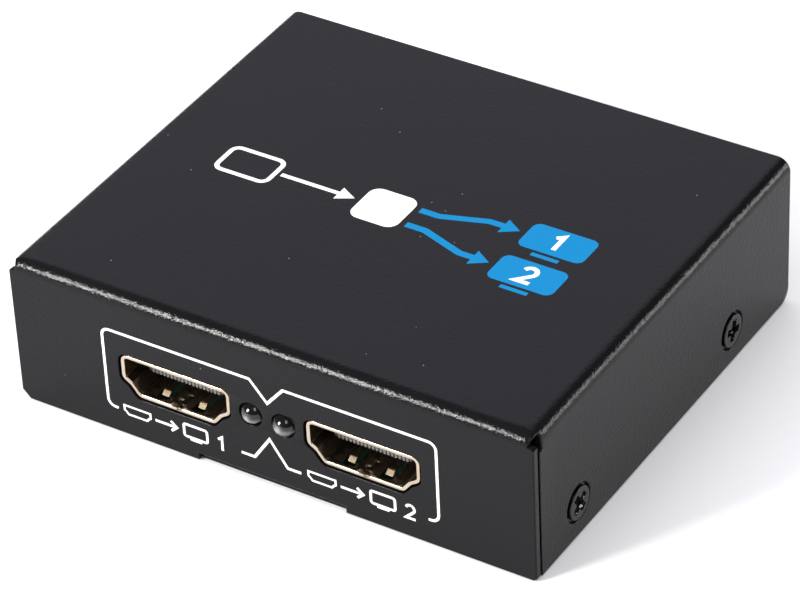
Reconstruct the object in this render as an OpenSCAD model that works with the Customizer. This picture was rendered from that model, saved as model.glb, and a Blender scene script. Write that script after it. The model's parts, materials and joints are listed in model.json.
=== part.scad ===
// Two-way video splitter: a folded steel box with one input socket, two output sockets,
// two indicator lights and a power jack on one circuit board.
// Lengths are millimetres and angles degrees. X runs along the front panel, Y from the
// front to the back and Z up. The origin is under the middle of the box, on the surface
// that it stands on.

/* [Case] */
// Width of the case over its two sides
case_w = 70; // [64:0.5:100]
// Depth of the case from the front panel to the rear edge of the cover
case_d = 60.3; // [56:0.1:90]
// Height of the case above the surface that it stands on
case_h = 20.3; // [19.5:0.1:30]
// Thickness of the coated sheet steel
sheet = 1.0; // [0.8:0.05:1.2]
// Outside radius of the folds in the cover
fold_r = 1.7; // [1.4:0.1:2.4]

/* [Cover] */
// Height of the cover's lower edges above the surface
edge_lift = 0.15; // [0.05:0.05:0.5]
// Gap between the front panel and the front edge of each side
corner_seam = 0.5; // [0.1:0.05:0.8]
// Distance from each side to the end of the front fold
fold_stop = 0.8; // [0.5:0.1:1.4]
// Diameter of the relief hole at each upper front corner
relief_d = 1.2; // [0.8:0.1:2.4]
// Cut-off corner at the lower left of the front panel
left_clip = 1.1; // [0.2:0.1:2]
// Cut-off corner at the lower right of the front panel
right_clip = 0.4; // [0.2:0.1:2]
// Cut-off upper corners of the front panel
upper_clip = 0.4; // [0.2:0.1:0.6]
// Radius of the lower rear corner of each side
rear_round = 1.8; // [0.5:0.1:4]

/* [Base] */
// Gap between the base's side flanges and the cover
fit_gap = 0.2; // [0.1:0.05:0.4]
// Outside radius of the folds in the base
base_fold_r = 1.5; // [1.3:0.1:2.2]
// Height of the side flanges
flange_h = 9; // [8:0.5:13]
// Distance from the back panel to the end of each side flange
flange_stop = 3; // [2.5:0.1:5]
// Gap between the base and the inside of the front panel
base_front_gap = 0.4; // [0.2:0.05:1]
// Width of the front tongue that shows under the front panel
tongue_w = 19.8; // [10:0.1:30]
// Distance from the face of the front panel back to the end of the tongue
tongue_set = 0.3; // [0.1:0.05:0.6]
// Gap round the tongue in the notch of the front panel
notch_gap = 0.1; // [0.05:0.05:0.4]
// Distance from the rear edge of the cover in to the back panel
back_set = 0.3; // [0.1:0.05:1]
// Gap between the back panel and the inside of the cover's top
back_gap = 0.3; // [0.1:0.05:0.6]

/* [Case screws] */
// Distance from the front panel to the front screws
screw_front = 9.5; // [7:0.1:14]
// Distance from the rear edge of the cover to the rear screws
screw_rear = 14.5; // [8:0.1:20]
// Height of the screws
screw_z = 4.75; // [4.2:0.05:6]
// Diameter of the screw's thread
screw_d = 2.5; // [2:0.1:3]
// Length of the screw with its head
screw_len = 5; // [4:0.1:6]
// Diameter of the flat head
screw_head_d = 4.2; // [4:0.1:5]
// Height of the straight rim of the flat head
screw_rim = 0.35; // [0.2:0.05:0.5]
// Diameter of the well round the head
screw_well_d = 5; // [4.8:0.1:6.4]
// Gap round the screw in the sheet
screw_gap = 0.05; // [0.02:0.01:0.1]
// Outside diameter of the drawn collar that holds the thread
collar_d = 4.6; // [4:0.1:6]
// Length of the drawn collar
collar_len = 1.2; // [0.5:0.1:2]
// Width of a slot of the cross in a screw head
cross_w = 0.62; // [0.4:0.02:0.8]
// Length of a slot of the cross in a screw head
cross_len = 2.6; // [1.8:0.1:3.2]
// Depth of the cross in a screw head
cross_deep = 0.9; // [0.4:0.1:1.2]

/* [Circuit board] */
// Thickness of the board
board_t = 1.6; // [1:0.1:2]
// Gap between the board's sides and the points of the case screws
board_side_gap = 1.5; // [0.5:0.1:3]
// Gap between the board's ends and the front and back panels
board_end_gap = 1.3; // [0.8:0.1:2]
// Distance from the board's sides to its fixing holes
hole_inset = 3.8; // [3.2:0.1:6]
// Gap along the board between the fixing screws' heads and the sockets' pins
hole_row_gap = 0.6; // [0.3:0.1:2]
// Diameter of the standoffs
stand_d = 5; // [4:0.1:6]
// Diameter of the fixing screws' thread
board_screw_d = 3; // [2.5:0.1:3.2]
// Length of the fixing screws under the head
board_screw_len = 4.5; // [3:0.1:4.6]
// Diameter of the fixing screws' heads
board_screw_head_d = 5.5; // [4.5:0.1:6]
// Height of the fixing screws' heads
board_screw_head_h = 1.8; // [1.2:0.1:2.2]
// Gap round the fixing screws in the board
board_hole_gap = 0.1; // [0.05:0.05:0.3]
// Gap round the fixing screws in the standoffs
stand_gap = 0.05; // [0.02:0.01:0.1]

/* [Sockets] */
// Distance between the two output sockets
out_spacing = 25.3; // [24:0.1:30]
// Place of the input socket along the back, from the middle
in_x = -8; // [-14:0.5:-6]
// Height of the middle of the sockets
socket_z = 9; // [8.6:0.1:11]
// Width of a socket's mouth at the top
mouth_w = 14; // [13.5:0.05:14.5]
// Height of the mouth
mouth_h = 4.55; // [4.4:0.05:5]
// Width of the mouth's floor
floor_w = 10; // [9:0.1:10.6]
// Width of the mouth between the bends of its two shoulders
shoulder_w = 12; // [11.4:0.1:12.4]
// Height of the straight sides of the mouth
side_h = 2.64; // [2.2:0.02:2.8]
// Drop from the top of the mouth to the bends of its shoulders
shoulder_drop = 3.28; // [3:0.02:3.6]
// Radius of the corners of the mouth
mouth_r = 0.5; // [0.3:0.05:0.6]
// Radius of the bends of the shoulders
shoulder_r = 0.9; // [0.85:0.05:1.2]
// Thickness of the socket's shell
shell_t = 0.3; // [0.2:0.02:0.4]
// Length of the shell
shell_len = 12; // [11:0.1:14]
// Width of the flared rim round the mouth
rim_w = 0.52; // [0.42:0.02:0.7]
// Depth of the flared rim
rim_depth = 0.35; // [0.2:0.05:0.45]
// Distance from the face of the panel in to the rim
rim_set = 0.17; // [0:0.01:0.5]
// Gap round the rim in the panel
rim_gap = 0.25; // [0.1:0.05:0.5]
// Width of the seam along the middle of the shell's floor
seam_w = 0.1; // [0.05:0.01:0.2]
// Gap between the shell and the board
shell_stand = 0.43; // [0.35:0.01:0.8]
// Width of a leg of the shell
leg_w = 1.2; // [0.8:0.1:1.6]
// Distance from the rim to the front legs
leg_front = 3.4; // [3:0.1:4]
// Distance from the rim to the rear legs
leg_rear = 9.4; // [8:0.1:10]
// Length of the legs under the board
leg_through = 0.6; // [0.2:0.1:1]
// Gap round the legs in the board
leg_gap = 0.15; // [0.1:0.05:0.3]

/* [Socket insides] */
// Width of the blade that carries the contacts
blade_w = 10.2; // [10:0.1:10.6]
// Thickness of the blade
blade_t = 1.05; // [0.9:0.05:1.3]
// Height of the blade's middle above the middle of the mouth
blade_rise = 0.4; // [-0.1:0.05:0.6]
// Distance from the rim to the end of the blade
blade_set = 2.2; // [1.2:0.05:3]
// Length of the block at the back of the mouth
block_len = 2; // [1.5:0.1:3]
// Gap between the block and the shell
block_gap = 0.05; // [0.02:0.01:0.1]
// Width of the heel behind the shell
heel_w = 11; // [10.6:0.1:12]
// Length of the heel behind the shell
heel_len = 1.5; // [1:0.1:2]
// Number of contacts over the blade, one more than under it
contact_count = 10; // [6:1:10]
// Distance between neighbouring contacts of one row
contact_pitch = 1; // [0.9:0.05:1]
// Width of a contact
contact_w = 0.3; // [0.2:0.02:0.36]
// Thickness of a contact
contact_t = 0.15; // [0.1:0.01:0.2]
// Height of a contact above the face of the blade
contact_proud = 0.05; // [0.02:0.01:0.08]
// Distance from the heel to the pins of the lower row
lower_pin_back = 0.4; // [0.3:0.05:0.6]
// Distance from the heel to the pins of the upper row
upper_pin_back = 1; // [0.9:0.05:1.4]
// Length of a pin's foot on the board
pin_foot = 0.8; // [0.5:0.05:1]

/* [Socket springs] */
// Width of a spring finger
spring_w = 0.8; // [0.6:0.05:1]
// Thickness of a spring finger
spring_t = 0.2; // [0.12:0.02:0.25]
// Width of the window that a finger is cut from
window_w = 1.8; // [1.5:0.1:2.2]
// Distance from the rim to the window
window_front = 0.55; // [0.5:0.05:0.9]
// Distance from the rim to the tip of a finger
spring_tip = 0.85; // [0.75:0.05:1.1]
// Distance from the rim to the crest of a finger
spring_crest = 2.3; // [1.8:0.1:3]
// Distance from the rim to the root of a finger
spring_root = 7.6; // [6:0.1:8]
// Height of the crest inside the mouth, before it is rounded
spring_rise = 0.45; // [0.3:0.05:0.55]
// Radius of the crest
spring_crest_r = 3; // [1:0.5:4]
// Gap between the root of a finger and the end of its window
spring_gap = 0.1; // [0.05:0.01:0.2]
// Distance between the lower fingers
lower_spring_spacing = 5; // [4.6:0.1:5.4]
// Distance between the upper fingers
upper_spring_spacing = 6.4; // [5:0.1:8]

/* [Lights] */
// Distance between the two lights
led_spacing = 4.4; // [4.2:0.05:5]
// Height of the lights
led_z = 9.75; // [9:0.05:11]
// Diameter of a light
led_d = 3; // [2.8:0.05:3.2]
// Length of a light with its dome
led_len = 5.2; // [4.6:0.1:6]
// Diameter of the flange at the foot of a light
led_flange_d = 3.8; // [3.4:0.05:4]
// Thickness of the flange
led_flange_t = 1; // [0.6:0.1:1.4]
// Gap round a light in the front panel
led_gap = 0.1; // [0.05:0.05:0.3]
// Height of the left light above the face of the front panel
left_led_proud = 0.75; // [0.3:0.05:1.2]
// Height of the right light above the face of the front panel
right_led_proud = 1; // [0.3:0.05:1.2]
// Thickness of a lead
lead_t = 0.5; // [0.4:0.02:0.6]
// Distance between a light's two leads
lead_pitch = 2.54; // [2.2:0.02:2.6]
// Distance from the flange to the bend of the leads
lead_back = 2; // [1:0.1:3]
// Length of the leads under the board
lead_through = 0.8; // [0.2:0.1:1.2]
// Gap round the leads in the board
lead_gap = 0.1; // [0.05:0.05:0.2]

/* [Power jack] */
// Place of the jack along the back, from the middle
jack_x = 14; // [12:0.5:16]
// Width of the jack's housing
jack_w = 9; // [8.6:0.1:10]
// Height of the housing
jack_h = 11; // [10:0.1:12]
// Depth of the housing behind the panel
jack_len = 13; // [12.4:0.1:14]
// Height of the middle of the barrel above the board
jack_axis_h = 6.5; // [6:0.1:7]
// Diameter of the collar that passes through the panel
jack_collar_d = 8; // [7.6:0.1:8.4]
// Height of the collar above the rear edge of the cover
jack_proud = 1; // [0:0.1:2]
// Gap round the collar, and between the housing and the panel
jack_gap = 0.2; // [0.1:0.05:0.4]
// Diameter of the barrel
barrel_d = 6.3; // [5.8:0.1:6.6]
// Depth of the barrel behind the collar
barrel_deep = 8.5; // [8:0.1:9.5]
// Diameter of the centre pin
pin_d = 2; // [1.6:0.05:2.5]
// Distance from the end of the collar in to the tip of the pin
pin_set = 0.8; // [0.4:0.1:2]
// Diameter of the root of the pin
pin_root_d = 2.6; // [2.6:0.1:3.2]
// Gap round the root of the pin
pin_gap = 0.03; // [0.01:0.01:0.06]
// Thickness of the jack's terminals and spring
tab_t = 0.3; // [0.2:0.02:0.4]
// Width of the terminals and the spring
tab_w = 2.2; // [1.6:0.1:2.6]
// Height of the spring's crest inside the barrel, before it is rounded
jack_spring_rise = 0.55; // [0.3:0.05:0.7]
// Distance from the spring's root to its crest
jack_spring_crest = 5.8; // [5:0.1:6.4]
// Radius of the spring's crest
jack_spring_r = 5; // [1:0.5:6]
// Gap between the barrel and the root of the spring
jack_spring_drop = 0.05; // [0.02:0.01:0.2]
// Length of the spring from its root to its tip
jack_spring_len = 8.2; // [7.6:0.1:8.4]
// Room round the spring in its slot
jack_spring_room = 0.25; // [0.15:0.05:0.4]
// Depth of the spring's slot below the barrel
jack_slot_deep = 1.5; // [1.3:0.1:2]
// Length of the terminals under the board
tab_through = 0.8; // [0.2:0.1:1.2]
// Gap round the terminals in the board
tab_gap = 0.15; // [0.1:0.05:0.3]

/* [Chips] */
// Side of the splitter chip
chip_w = 10; // [8:0.1:11]
// Height of the chips
chip_h = 1.4; // [1:0.1:1.8]
// Gap between a chip and the board
chip_stand = 0.1; // [0.05:0.05:0.2]
// Leads on each side of the splitter chip
chip_leads = 16; // [8:1:16]
// Distance between the splitter chip's leads
chip_pitch = 0.5; // [0.4:0.05:0.5]
// Width of a splitter chip's lead
chip_lead_w = 0.22; // [0.15:0.01:0.28]
// Thickness of the leads of all the chips
chip_lead_t = 0.15; // [0.1:0.01:0.2]
// Length of the leads of all the chips
chip_lead_len = 1; // [0.8:0.05:1.2]
// Length of a memory chip
memory_len = 4.9; // [4.4:0.1:5.2]
// Width of a memory chip
memory_w = 3.9; // [3.4:0.1:4.4]
// Leads on each side of a memory chip
memory_leads = 4; // [2:1:4]
// Distance between a memory chip's leads
memory_pitch = 1.27; // [1:0.01:1.3]
// Width of a memory chip's lead
memory_lead_w = 0.42; // [0.3:0.02:0.6]
// Distance between neighbouring memory chips
memory_spacing = 7; // [6:0.1:7.5]
// Distance from the middle of the board to the memory chips
memory_x = 14.5; // [13:0.1:16]

/* [Power parts] */
// Length of the voltage regulator
regulator_len = 6.5; // [5.5:0.1:7]
// Width of the voltage regulator
regulator_w = 3.5; // [3:0.1:4]
// Narrow leads of the voltage regulator
regulator_leads = 3; // [2:1:3]
// Width of the voltage regulator's wide lead
regulator_tab_w = 3; // [2:0.1:3.4]
// Width of the voltage regulator's narrow leads
regulator_lead_w = 0.7; // [0.4:0.1:0.9]
// Distance between the voltage regulator's narrow leads
regulator_pitch = 2.3; // [1.8:0.1:2.5]
// Place of the voltage regulator across the board
regulator_x = 14; // [13.5:0.1:15]
// Place of the voltage regulator along the board
regulator_y = 5; // [4.5:0.1:5.5]
// Diameter of a power capacitor's can
can_d = 5; // [4:0.1:5.4]
// Height of a power capacitor's can
can_h = 5.2; // [4:0.1:7]
// Side of a power capacitor's base
can_base_w = 5.3; // [5.3:0.1:5.7]
// Thickness of a power capacitor's base
can_base_t = 0.8; // [0.5:0.1:1.2]
// Place of the power capacitors across the board
can_x = 22.5; // [22:0.1:23.5]
// Distance between the two power capacitors
can_spacing = 6; // [5.9:0.1:6.4]
// Side of the filter coil
coil_w = 5; // [4:0.1:5.4]
// Height of the filter coil
coil_h = 3; // [2:0.1:4]
// Gap between the filter coil and the voltage regulator's leads
coil_gap = 2; // [1:0.1:3]
// Length of the input diode
diode_len = 4.4; // [4:0.1:4.8]
// Width of the input diode
diode_w = 2.6; // [2:0.1:2.8]
// Height of the input diode
diode_h = 2.2; // [1.6:0.1:2.6]
// Gap between the input diode and the voltage regulator's leads
diode_gap = 1.2; // [0.6:0.1:1.6]
// Length of the clock crystal
crystal_len = 11.4; // [10:0.1:12]
// Width of the clock crystal
crystal_w = 4.4; // [4:0.1:4.8]
// Height of the clock crystal
crystal_h = 3.6; // [2.5:0.1:4.5]
// Place of the clock crystal across the board
crystal_x = 4; // [3.5:0.1:4.4]
// Gap between the clock crystal and the splitter chip's leads
crystal_gap = 2.4; // [2:0.1:2.8]

/* [Small parts] */
// Length of a resistor or a small capacitor
small_len = 1.6; // [1.2:0.1:1.8]
// Width of a resistor or a small capacitor
small_w = 0.8; // [0.6:0.05:0.9]
// Height of a resistor
resistor_h = 0.45; // [0.3:0.05:0.6]
// Height of a small capacitor
small_cap_h = 0.8; // [0.5:0.05:1]
// Resistors behind each output socket
resistor_count = 8; // [4:1:8]
// Distance between neighbouring resistors
resistor_pitch = 1.7; // [1.2:0.1:1.7]
// Gap between the output sockets' pins and the resistors
resistor_gap = 1.6; // [1:0.1:2]
// Small capacitors on each side of the splitter chip
small_cap_count = 6; // [3:1:6]
// Distance between neighbouring small capacitors
small_cap_pitch = 2; // [1.9:0.1:2]
// Gap between the splitter chip's leads and the small capacitors
small_cap_gap = 1.6; // [1:0.1:2]

/* [Hidden] */
$fn = 64;
// Segments in each rounded corner of a socket's outline
corner_steps = 6;
// Cutters run this far past the faces that they cut
past = 1;
// Shares of a chip lead's length before it turns down and before its foot
lead_knee_share = 0.35;
lead_foot_share = 0.5;

// Colours of the materials
coat_black = "#2a2a2d";
screw_black = "#202022";
gilt = "#d9b47a";
bright_metal = "#c9c9cc";
board_green = "#1f5a3a";
moulded_black = "#161617";
smoke_lens = "#6d6d70";
coil_grey = "#3a3a3c";
resistor_black = "#1b1b20";
ceramic_tan = "#b79a6d";

// Faces of the case
side_x = case_w / 2;
front_y = -case_d / 2;
rear_y = case_d / 2;
front_inner_y = front_y + sheet;
top_inner_z = case_h - sheet;
side_front_y = front_inner_y + corner_seam;

// Faces of the base
base_x = side_x - sheet - fit_gap;
base_front_y = front_inner_y + base_front_gap;
back_face_y = rear_y - back_set;
back_inner_y = back_face_y - sheet;
back_top_z = top_inner_z - back_gap;
flange_rear_y = back_face_y - flange_stop;
screw_ys = [front_y + screw_front, rear_y - screw_rear];
screw_cone = (screw_head_d - screw_d) / 2;

// Turn of the cross in each screw head, front and rear on the right, then on the left
screw_turns = [[36, -14], [12, 51]];

// Heights of the circuit board
board_top_z = socket_z - mouth_h / 2 - shell_t - shell_stand;
board_bottom_z = board_top_z - board_t;

// Lengths of a socket, from its rim
heel_front = shell_len + block_gap;
heel_rear = heel_front + heel_len;
socket_rear = heel_rear + upper_pin_back + pin_foot;
board_drop = socket_z - board_top_z;
leg_end = -(board_drop + board_t + leg_through);

// Places of the sockets: outputs at the front, the input at the back
out_y = front_y + rim_set;
in_y = back_face_y - rim_set;

// Outline and fixing holes of the circuit board
board_x = side_x - screw_len - board_side_gap;
board_front_y = front_inner_y + board_end_gap;
board_rear_y = back_inner_y - board_end_gap;
hole_x = board_x - hole_inset;
hole_ys = [
    out_y + socket_rear + hole_row_gap + board_screw_head_d / 2,
    in_y - socket_rear - hole_row_gap - board_screw_head_d / 2
];

// Power jack, from the middle of its barrel at the face behind the panel
jack_y = back_inner_y - jack_gap;
jack_z = board_top_z + jack_axis_h;
jack_collar_len = rear_y + jack_proud - jack_y;
jack_spring_y = -barrel_deep;
jack_spring_z = -(barrel_d / 2 + jack_spring_drop + tab_t / 2);
jack_tab_y = jack_spring_y - tab_t - jack_spring_room;
jack_tab_end = -(jack_axis_h + board_t + tab_through);

// Lights, from the face of the front panel
led_proud = [left_led_proud, right_led_proud];
led_foot_y = [for (proud = led_proud) front_y - proud + led_len];
lead_end = -(led_z - board_bottom_z + lead_through);

// Rows of small parts
chip_reach = chip_w / 2 + chip_lead_len;
small_cap_x = chip_reach + small_cap_gap;
resistor_y = out_y + socket_rear + resistor_gap;
crystal_y = chip_reach + crystal_gap + crystal_w / 2;
regulator_reach = regulator_w / 2 + chip_lead_len;
diode_y = regulator_y + regulator_reach + diode_gap + diode_w / 2;
coil_y = regulator_y - regulator_reach - coil_gap - coil_w / 2;
memory_ys = [-memory_spacing, 0, memory_spacing];
can_mid_y = (hole_ys[0] + hole_ys[1]) / 2;
can_ys = [can_mid_y - can_spacing / 2, can_mid_y + can_spacing / 2];

// Plane geometry

function unit(v) = v / norm(v);
function cross_z(a, b) = a[0] * b[1] - a[1] * b[0];
function outward(a, b) = let (d = unit(b - a)) [d[1], -d[0]];
function wrap(list, i) = list[(i + len(list)) % len(list)];

// Each corner of an anticlockwise outline moved out so that its edges move out by grow
function grown(points, grow) = [
    for (i = [0 : len(points) - 1])
        let (
            before = outward(wrap(points, i - 1), points[i]),
            after = outward(points[i], wrap(points, i + 1))
        )
        points[i] + (before + after) * grow / (1 + before * after)
];

// An arc of radius r that rounds the corner at b between a and c
function corner_arc(a, b, c, r) =
    let (
        to_a = unit(a - b),
        to_c = unit(c - b),
        half = acos(to_a * to_c) / 2,
        centre = b + unit(to_a + to_c) * r / sin(half),
        first = b + to_a * r / tan(half) - centre,
        last = b + to_c * r / tan(half) - centre,
        start = atan2(first[1], first[0]),
        sweep = atan2(cross_z(first, last), first * last)
    )
    [for (k = [0 : corner_steps])
        centre + r * [cos(start + sweep * k / corner_steps), sin(start + sweep * k / corner_steps)]];

// An outline with every corner rounded by its own radius
function rounded(points, radii) = [
    for (i = [0 : len(points) - 1])
        each corner_arc(wrap(points, i - 1), points[i], wrap(points, i + 1), radii[i])
];

// A bent strip of even thickness along a line of points
function strip_side(points, offset) = [
    for (i = [0 : len(points) - 1])
        let (
            before = outward(points[max(i - 1, 0)], points[max(i, 1)]),
            after = outward(points[min(i, len(points) - 2)], points[min(i + 1, len(points) - 1)])
        )
        points[i] + (before + after) * offset / (1 + before * after)
];
function reversed(list) = [for (i = [len(list) - 1 : -1 : 0]) list[i]];
function strip(points, thick) =
    concat(strip_side(points, thick / 2), reversed(strip_side(points, -thick / 2)));

// The outline of a socket's mouth, wide side up, grown by a wall or a gap
mouth_half = [
    [floor_w / 2, -mouth_h / 2],
    [shoulder_w / 2, mouth_h / 2 - shoulder_drop],
    [mouth_w / 2, mouth_h / 2 - side_h],
    [mouth_w / 2, mouth_h / 2]
];
mouth_corners = concat(mouth_half, [for (p = reversed(mouth_half)) [-p[0], p[1]]]);
function mouth_radii(grow) =
    let (half = [mouth_r + grow, shoulder_r - grow, mouth_r + grow, mouth_r + grow])
    concat(half, reversed(half));
function mouth_outline(grow) = rounded(grown(mouth_corners, grow), mouth_radii(grow));

// The middle line of a leaf spring from its root over a rounded crest to its tip
function leaf_line(root, crest, tip, r) = concat([root], corner_arc(root, crest, tip, r), [tip]);

// A spring finger's middle line in Y and Z, for a wall at height zero
finger_z = (shell_t - spring_t) / 2;
finger_line = leaf_line(
    [spring_root, 0], [spring_crest, finger_z + spring_rise], [spring_tip, finger_z], spring_crest_r
);

// Sweeps and shared shapes

// A flat shape in X and Z carried along Y
module along_y(from, to) {
    translate([0, to, 0]) rotate([90, 0, 0]) linear_extrude(to - from) children();
}

// A flat shape in Y and Z carried along X, evenly about the middle
module along_x(width) {
    rotate([90, 0, 90]) translate([0, 0, -width / 2]) linear_extrude(width) children();
}

// A block with both upper edges rounded, as a section in X and Z
module round_shoulders(half, low, high, r) {
    translate([-half, low]) square([2 * half, high - r - low]);
    translate([-half + r, low]) square([2 * (half - r), high - low]);
    for (s = [-1, 1]) translate([s * (half - r), high - r]) circle(r);
}

// A block with its upper front edge rounded, as a section in Y and Z
module round_brow(front, rear, low, high, r) {
    translate([front, low]) square([rear - front, high - r - low]);
    translate([front + r, low]) square([rear - front - r, high - low]);
    translate([front + r, high - r]) circle(r);
}

// A sheet folded down at its two sides and its front, open below and behind
module folded_sheet(half, front, rear, low, high, r) {
    difference() {
        folded_block(half, front, rear, low, high, r);
        folded_block(half - sheet, front + sheet, rear + past, low - past, high - sheet, r - sheet);
    }
}

module folded_block(half, front, rear, low, high, r) {
    intersection() {
        along_y(front, rear) round_shoulders(half, low, high, r);
        along_x(2 * half) round_brow(front, rear, low, high, r);
    }
}

// Both sides, with the children given for the right
module both_sides() {
    for (s = [0, 1]) mirror([s, 0, 0]) children();
}

// A countersunk screw along -Z from the top of its head, or the hole that it needs
module flat_screw(gap) {
    rotate_extrude() polygon([
        [0, 0],
        [screw_head_d / 2 + gap, 0],
        [screw_head_d / 2 + gap, -screw_rim],
        [screw_d / 2 + gap, -screw_rim - screw_cone],
        [screw_d / 2 + gap, -screw_len],
        [0, -screw_len]
    ]);
}

// The cross in a screw head, sunk from its top
module cross_recess() {
    for (turn = [0, 90]) rotate(turn)
        translate([-cross_len / 2, -cross_w / 2, -cross_deep])
            cube([cross_len, cross_w, cross_deep + past]);
}

// A place on the right side with +Z out of the case, at the front or the rear screw
module at_screw(i) {
    translate([side_x, screw_ys[i], screw_z]) rotate([0, 90, 0]) children();
}

// The places of the board's fixing screws
module at_holes() {
    for (x = [-hole_x, hole_x], y = hole_ys) translate([x, y, 0]) children();
}

// Case

// What is cut from the front panel in X and Z: lower corners, notch, socket holes and light holes
module front_panel_cuts() {
    for (corner = [[-side_x, left_clip], [side_x, right_clip]])
        translate([corner[0], edge_lift]) rotate(45) square(corner[1] * sqrt(2), center = true);
    translate([-tongue_w / 2 - notch_gap, edge_lift - past])
        square([tongue_w + 2 * notch_gap, sheet + notch_gap - edge_lift + past]);
    for (x = [-out_spacing / 2, out_spacing / 2])
        translate([x, socket_z]) polygon(mouth_outline(rim_w + rim_gap));
    for (x = [-led_spacing / 2, led_spacing / 2])
        translate([x, led_z]) circle(led_d / 2 + led_gap);
}

// What parts the right side from the front panel and from the end of the front fold
module corner_cuts() {
    fold_z = case_h - fold_r;
    translate([side_x - fold_r, front_inner_y, edge_lift - past])
        cube([fold_r + past, corner_seam, fold_z - edge_lift + past]);
    translate([side_x - fold_stop, front_y - past, fold_z])
        cube([fold_stop + past, side_front_y - front_y + past, fold_r + past]);
    along_y(front_y - past, front_inner_y) translate([side_x, fold_z])
        rotate(45) square(upper_clip * sqrt(2), center = true);
    translate([side_x - fold_stop / 2, side_front_y, fold_z]) cylinder(d = relief_d, h = fold_r + past);
}

module case_cover() {
    color(coat_black) difference() {
        folded_sheet(side_x, front_y, rear_y, edge_lift, case_h, fold_r);
        along_y(front_y - past, front_inner_y + past) front_panel_cuts();
        both_sides() {
            corner_cuts();
            for (i = [0, 1]) at_screw(i) {
                flat_screw(screw_gap);
                translate([0, 0, -screw_rim - screw_gap]) cylinder(d = screw_well_d, h = screw_rim + past);
            }
            translate([side_x, rear_y, edge_lift]) rear_corner();
        }
    }
}

// What rounds the lower rear corner of a side away
module rear_corner() {
    difference() {
        translate([-sheet - past, -rear_round, -past])
            cube([sheet + 2 * past, rear_round + past, rear_round + past]);
        translate([0, -rear_round, rear_round]) rotate([0, 90, 0])
            cylinder(r = rear_round, h = 2 * (sheet + 2 * past), center = true);
    }
}

// What is cut from the back panel in X and Z: the holes for the input socket and the power jack
module back_panel_cuts() {
    translate([in_x, socket_z]) polygon(mouth_outline(rim_w + rim_gap));
    translate([jack_x, jack_z]) circle(jack_collar_d / 2 + jack_gap);
}

// What parts the right flange from the back panel and sets its height
module flange_cuts() {
    translate([base_x - sheet - past, base_front_y - past, flange_h])
        cube([sheet + 2 * past, back_inner_y - base_front_y + past, back_top_z]);
    translate([base_x - base_fold_r, flange_rear_y, -past])
        cube([base_fold_r + past, back_inner_y - flange_rear_y, back_top_z + 2 * past]);
    translate([base_x - base_fold_r, flange_rear_y, -past])
        cube([base_fold_r + past, flange_stop + past, base_fold_r + past]);
}

module base_plate() {
    color(coat_black) difference() {
        union() {
            difference() {
                rotate([180, 0, 0])
                    folded_sheet(base_x, -back_face_y, -base_front_y, -back_top_z, 0, base_fold_r);
                both_sides() flange_cuts();
            }
            translate([-tongue_w / 2, front_y + tongue_set, 0])
                cube([tongue_w, base_front_y + sheet - front_y - tongue_set, sheet]);
            both_sides() for (i = [0, 1]) at_screw(i)
                translate([0, 0, base_x - side_x - sheet - collar_len])
                    cylinder(d = collar_d, h = collar_len + sheet);
        }
        along_y(back_inner_y - past, back_face_y + past) back_panel_cuts();
        both_sides() for (i = [0, 1]) at_screw(i) {
            flat_screw(screw_gap);
            translate([0, 0, -screw_len - past]) cylinder(d = screw_d + 2 * screw_gap, h = screw_len);
        }
    }
}

module case_screws() {
    color(screw_black) for (s = [0, 1], i = [0, 1]) mirror([s, 0, 0]) at_screw(i) difference() {
        flat_screw(0);
        rotate(screw_turns[s][i]) cross_recess();
    }
}

// Circuit board and its fixings

module circuit_board() {
    color(board_green) difference() {
        translate([-board_x, board_front_y, board_bottom_z])
            cube([2 * board_x, board_rear_y - board_front_y, board_t]);
        translate([0, 0, board_bottom_z - past]) {
            at_holes() cylinder(d = board_screw_d + 2 * board_hole_gap, h = board_t + 2 * past);
            for (k = [0, 1], side = [-0.5, 0.5]) translate([lead_x(k, side), led_foot_y[k] + lead_back, 0])
                cylinder(d = lead_t * sqrt(2) + 2 * lead_gap, h = board_t + 2 * past);
        }
        for (k = [0 : 2]) at_socket(k) both_sides() for (y = [leg_front, leg_rear])
            translate([mouth_w / 2 - leg_gap, y - leg_w / 2 - leg_gap, leg_end])
                cube([shell_t + 2 * leg_gap, leg_w + 2 * leg_gap, -leg_end - board_drop + past]);
        at_jack() for (y = [jack_tab_y, -jack_len - tab_t])
            translate([-tab_w / 2 - tab_gap, y - tab_gap, jack_tab_end])
                cube([tab_w + 2 * tab_gap, tab_t + 2 * tab_gap, -jack_tab_end - jack_axis_h + past]);
    }
}

module board_standoffs() {
    color(bright_metal) at_holes() translate([0, 0, sheet]) difference() {
        cylinder(d = stand_d, h = board_bottom_z - sheet);
        translate([0, 0, -past]) cylinder(d = board_screw_d + 2 * stand_gap, h = board_bottom_z + past);
    }
}

module board_screws() {
    color(bright_metal) at_holes() translate([0, 0, board_top_z]) difference() {
        union() {
            cylinder(d = board_screw_head_d, h = board_screw_head_h);
            translate([0, 0, -board_screw_len]) cylinder(d = board_screw_d, h = board_screw_len);
        }
        translate([0, 0, board_screw_head_h]) cross_recess();
    }
}

// Sockets, from the middle of the rim with +Y into the case

module at_socket(k) {
    if (k < 2) translate([(k - 0.5) * out_spacing, out_y, socket_z]) children();
    else translate([in_x, in_y, socket_z]) rotate(180) children();
}

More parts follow.
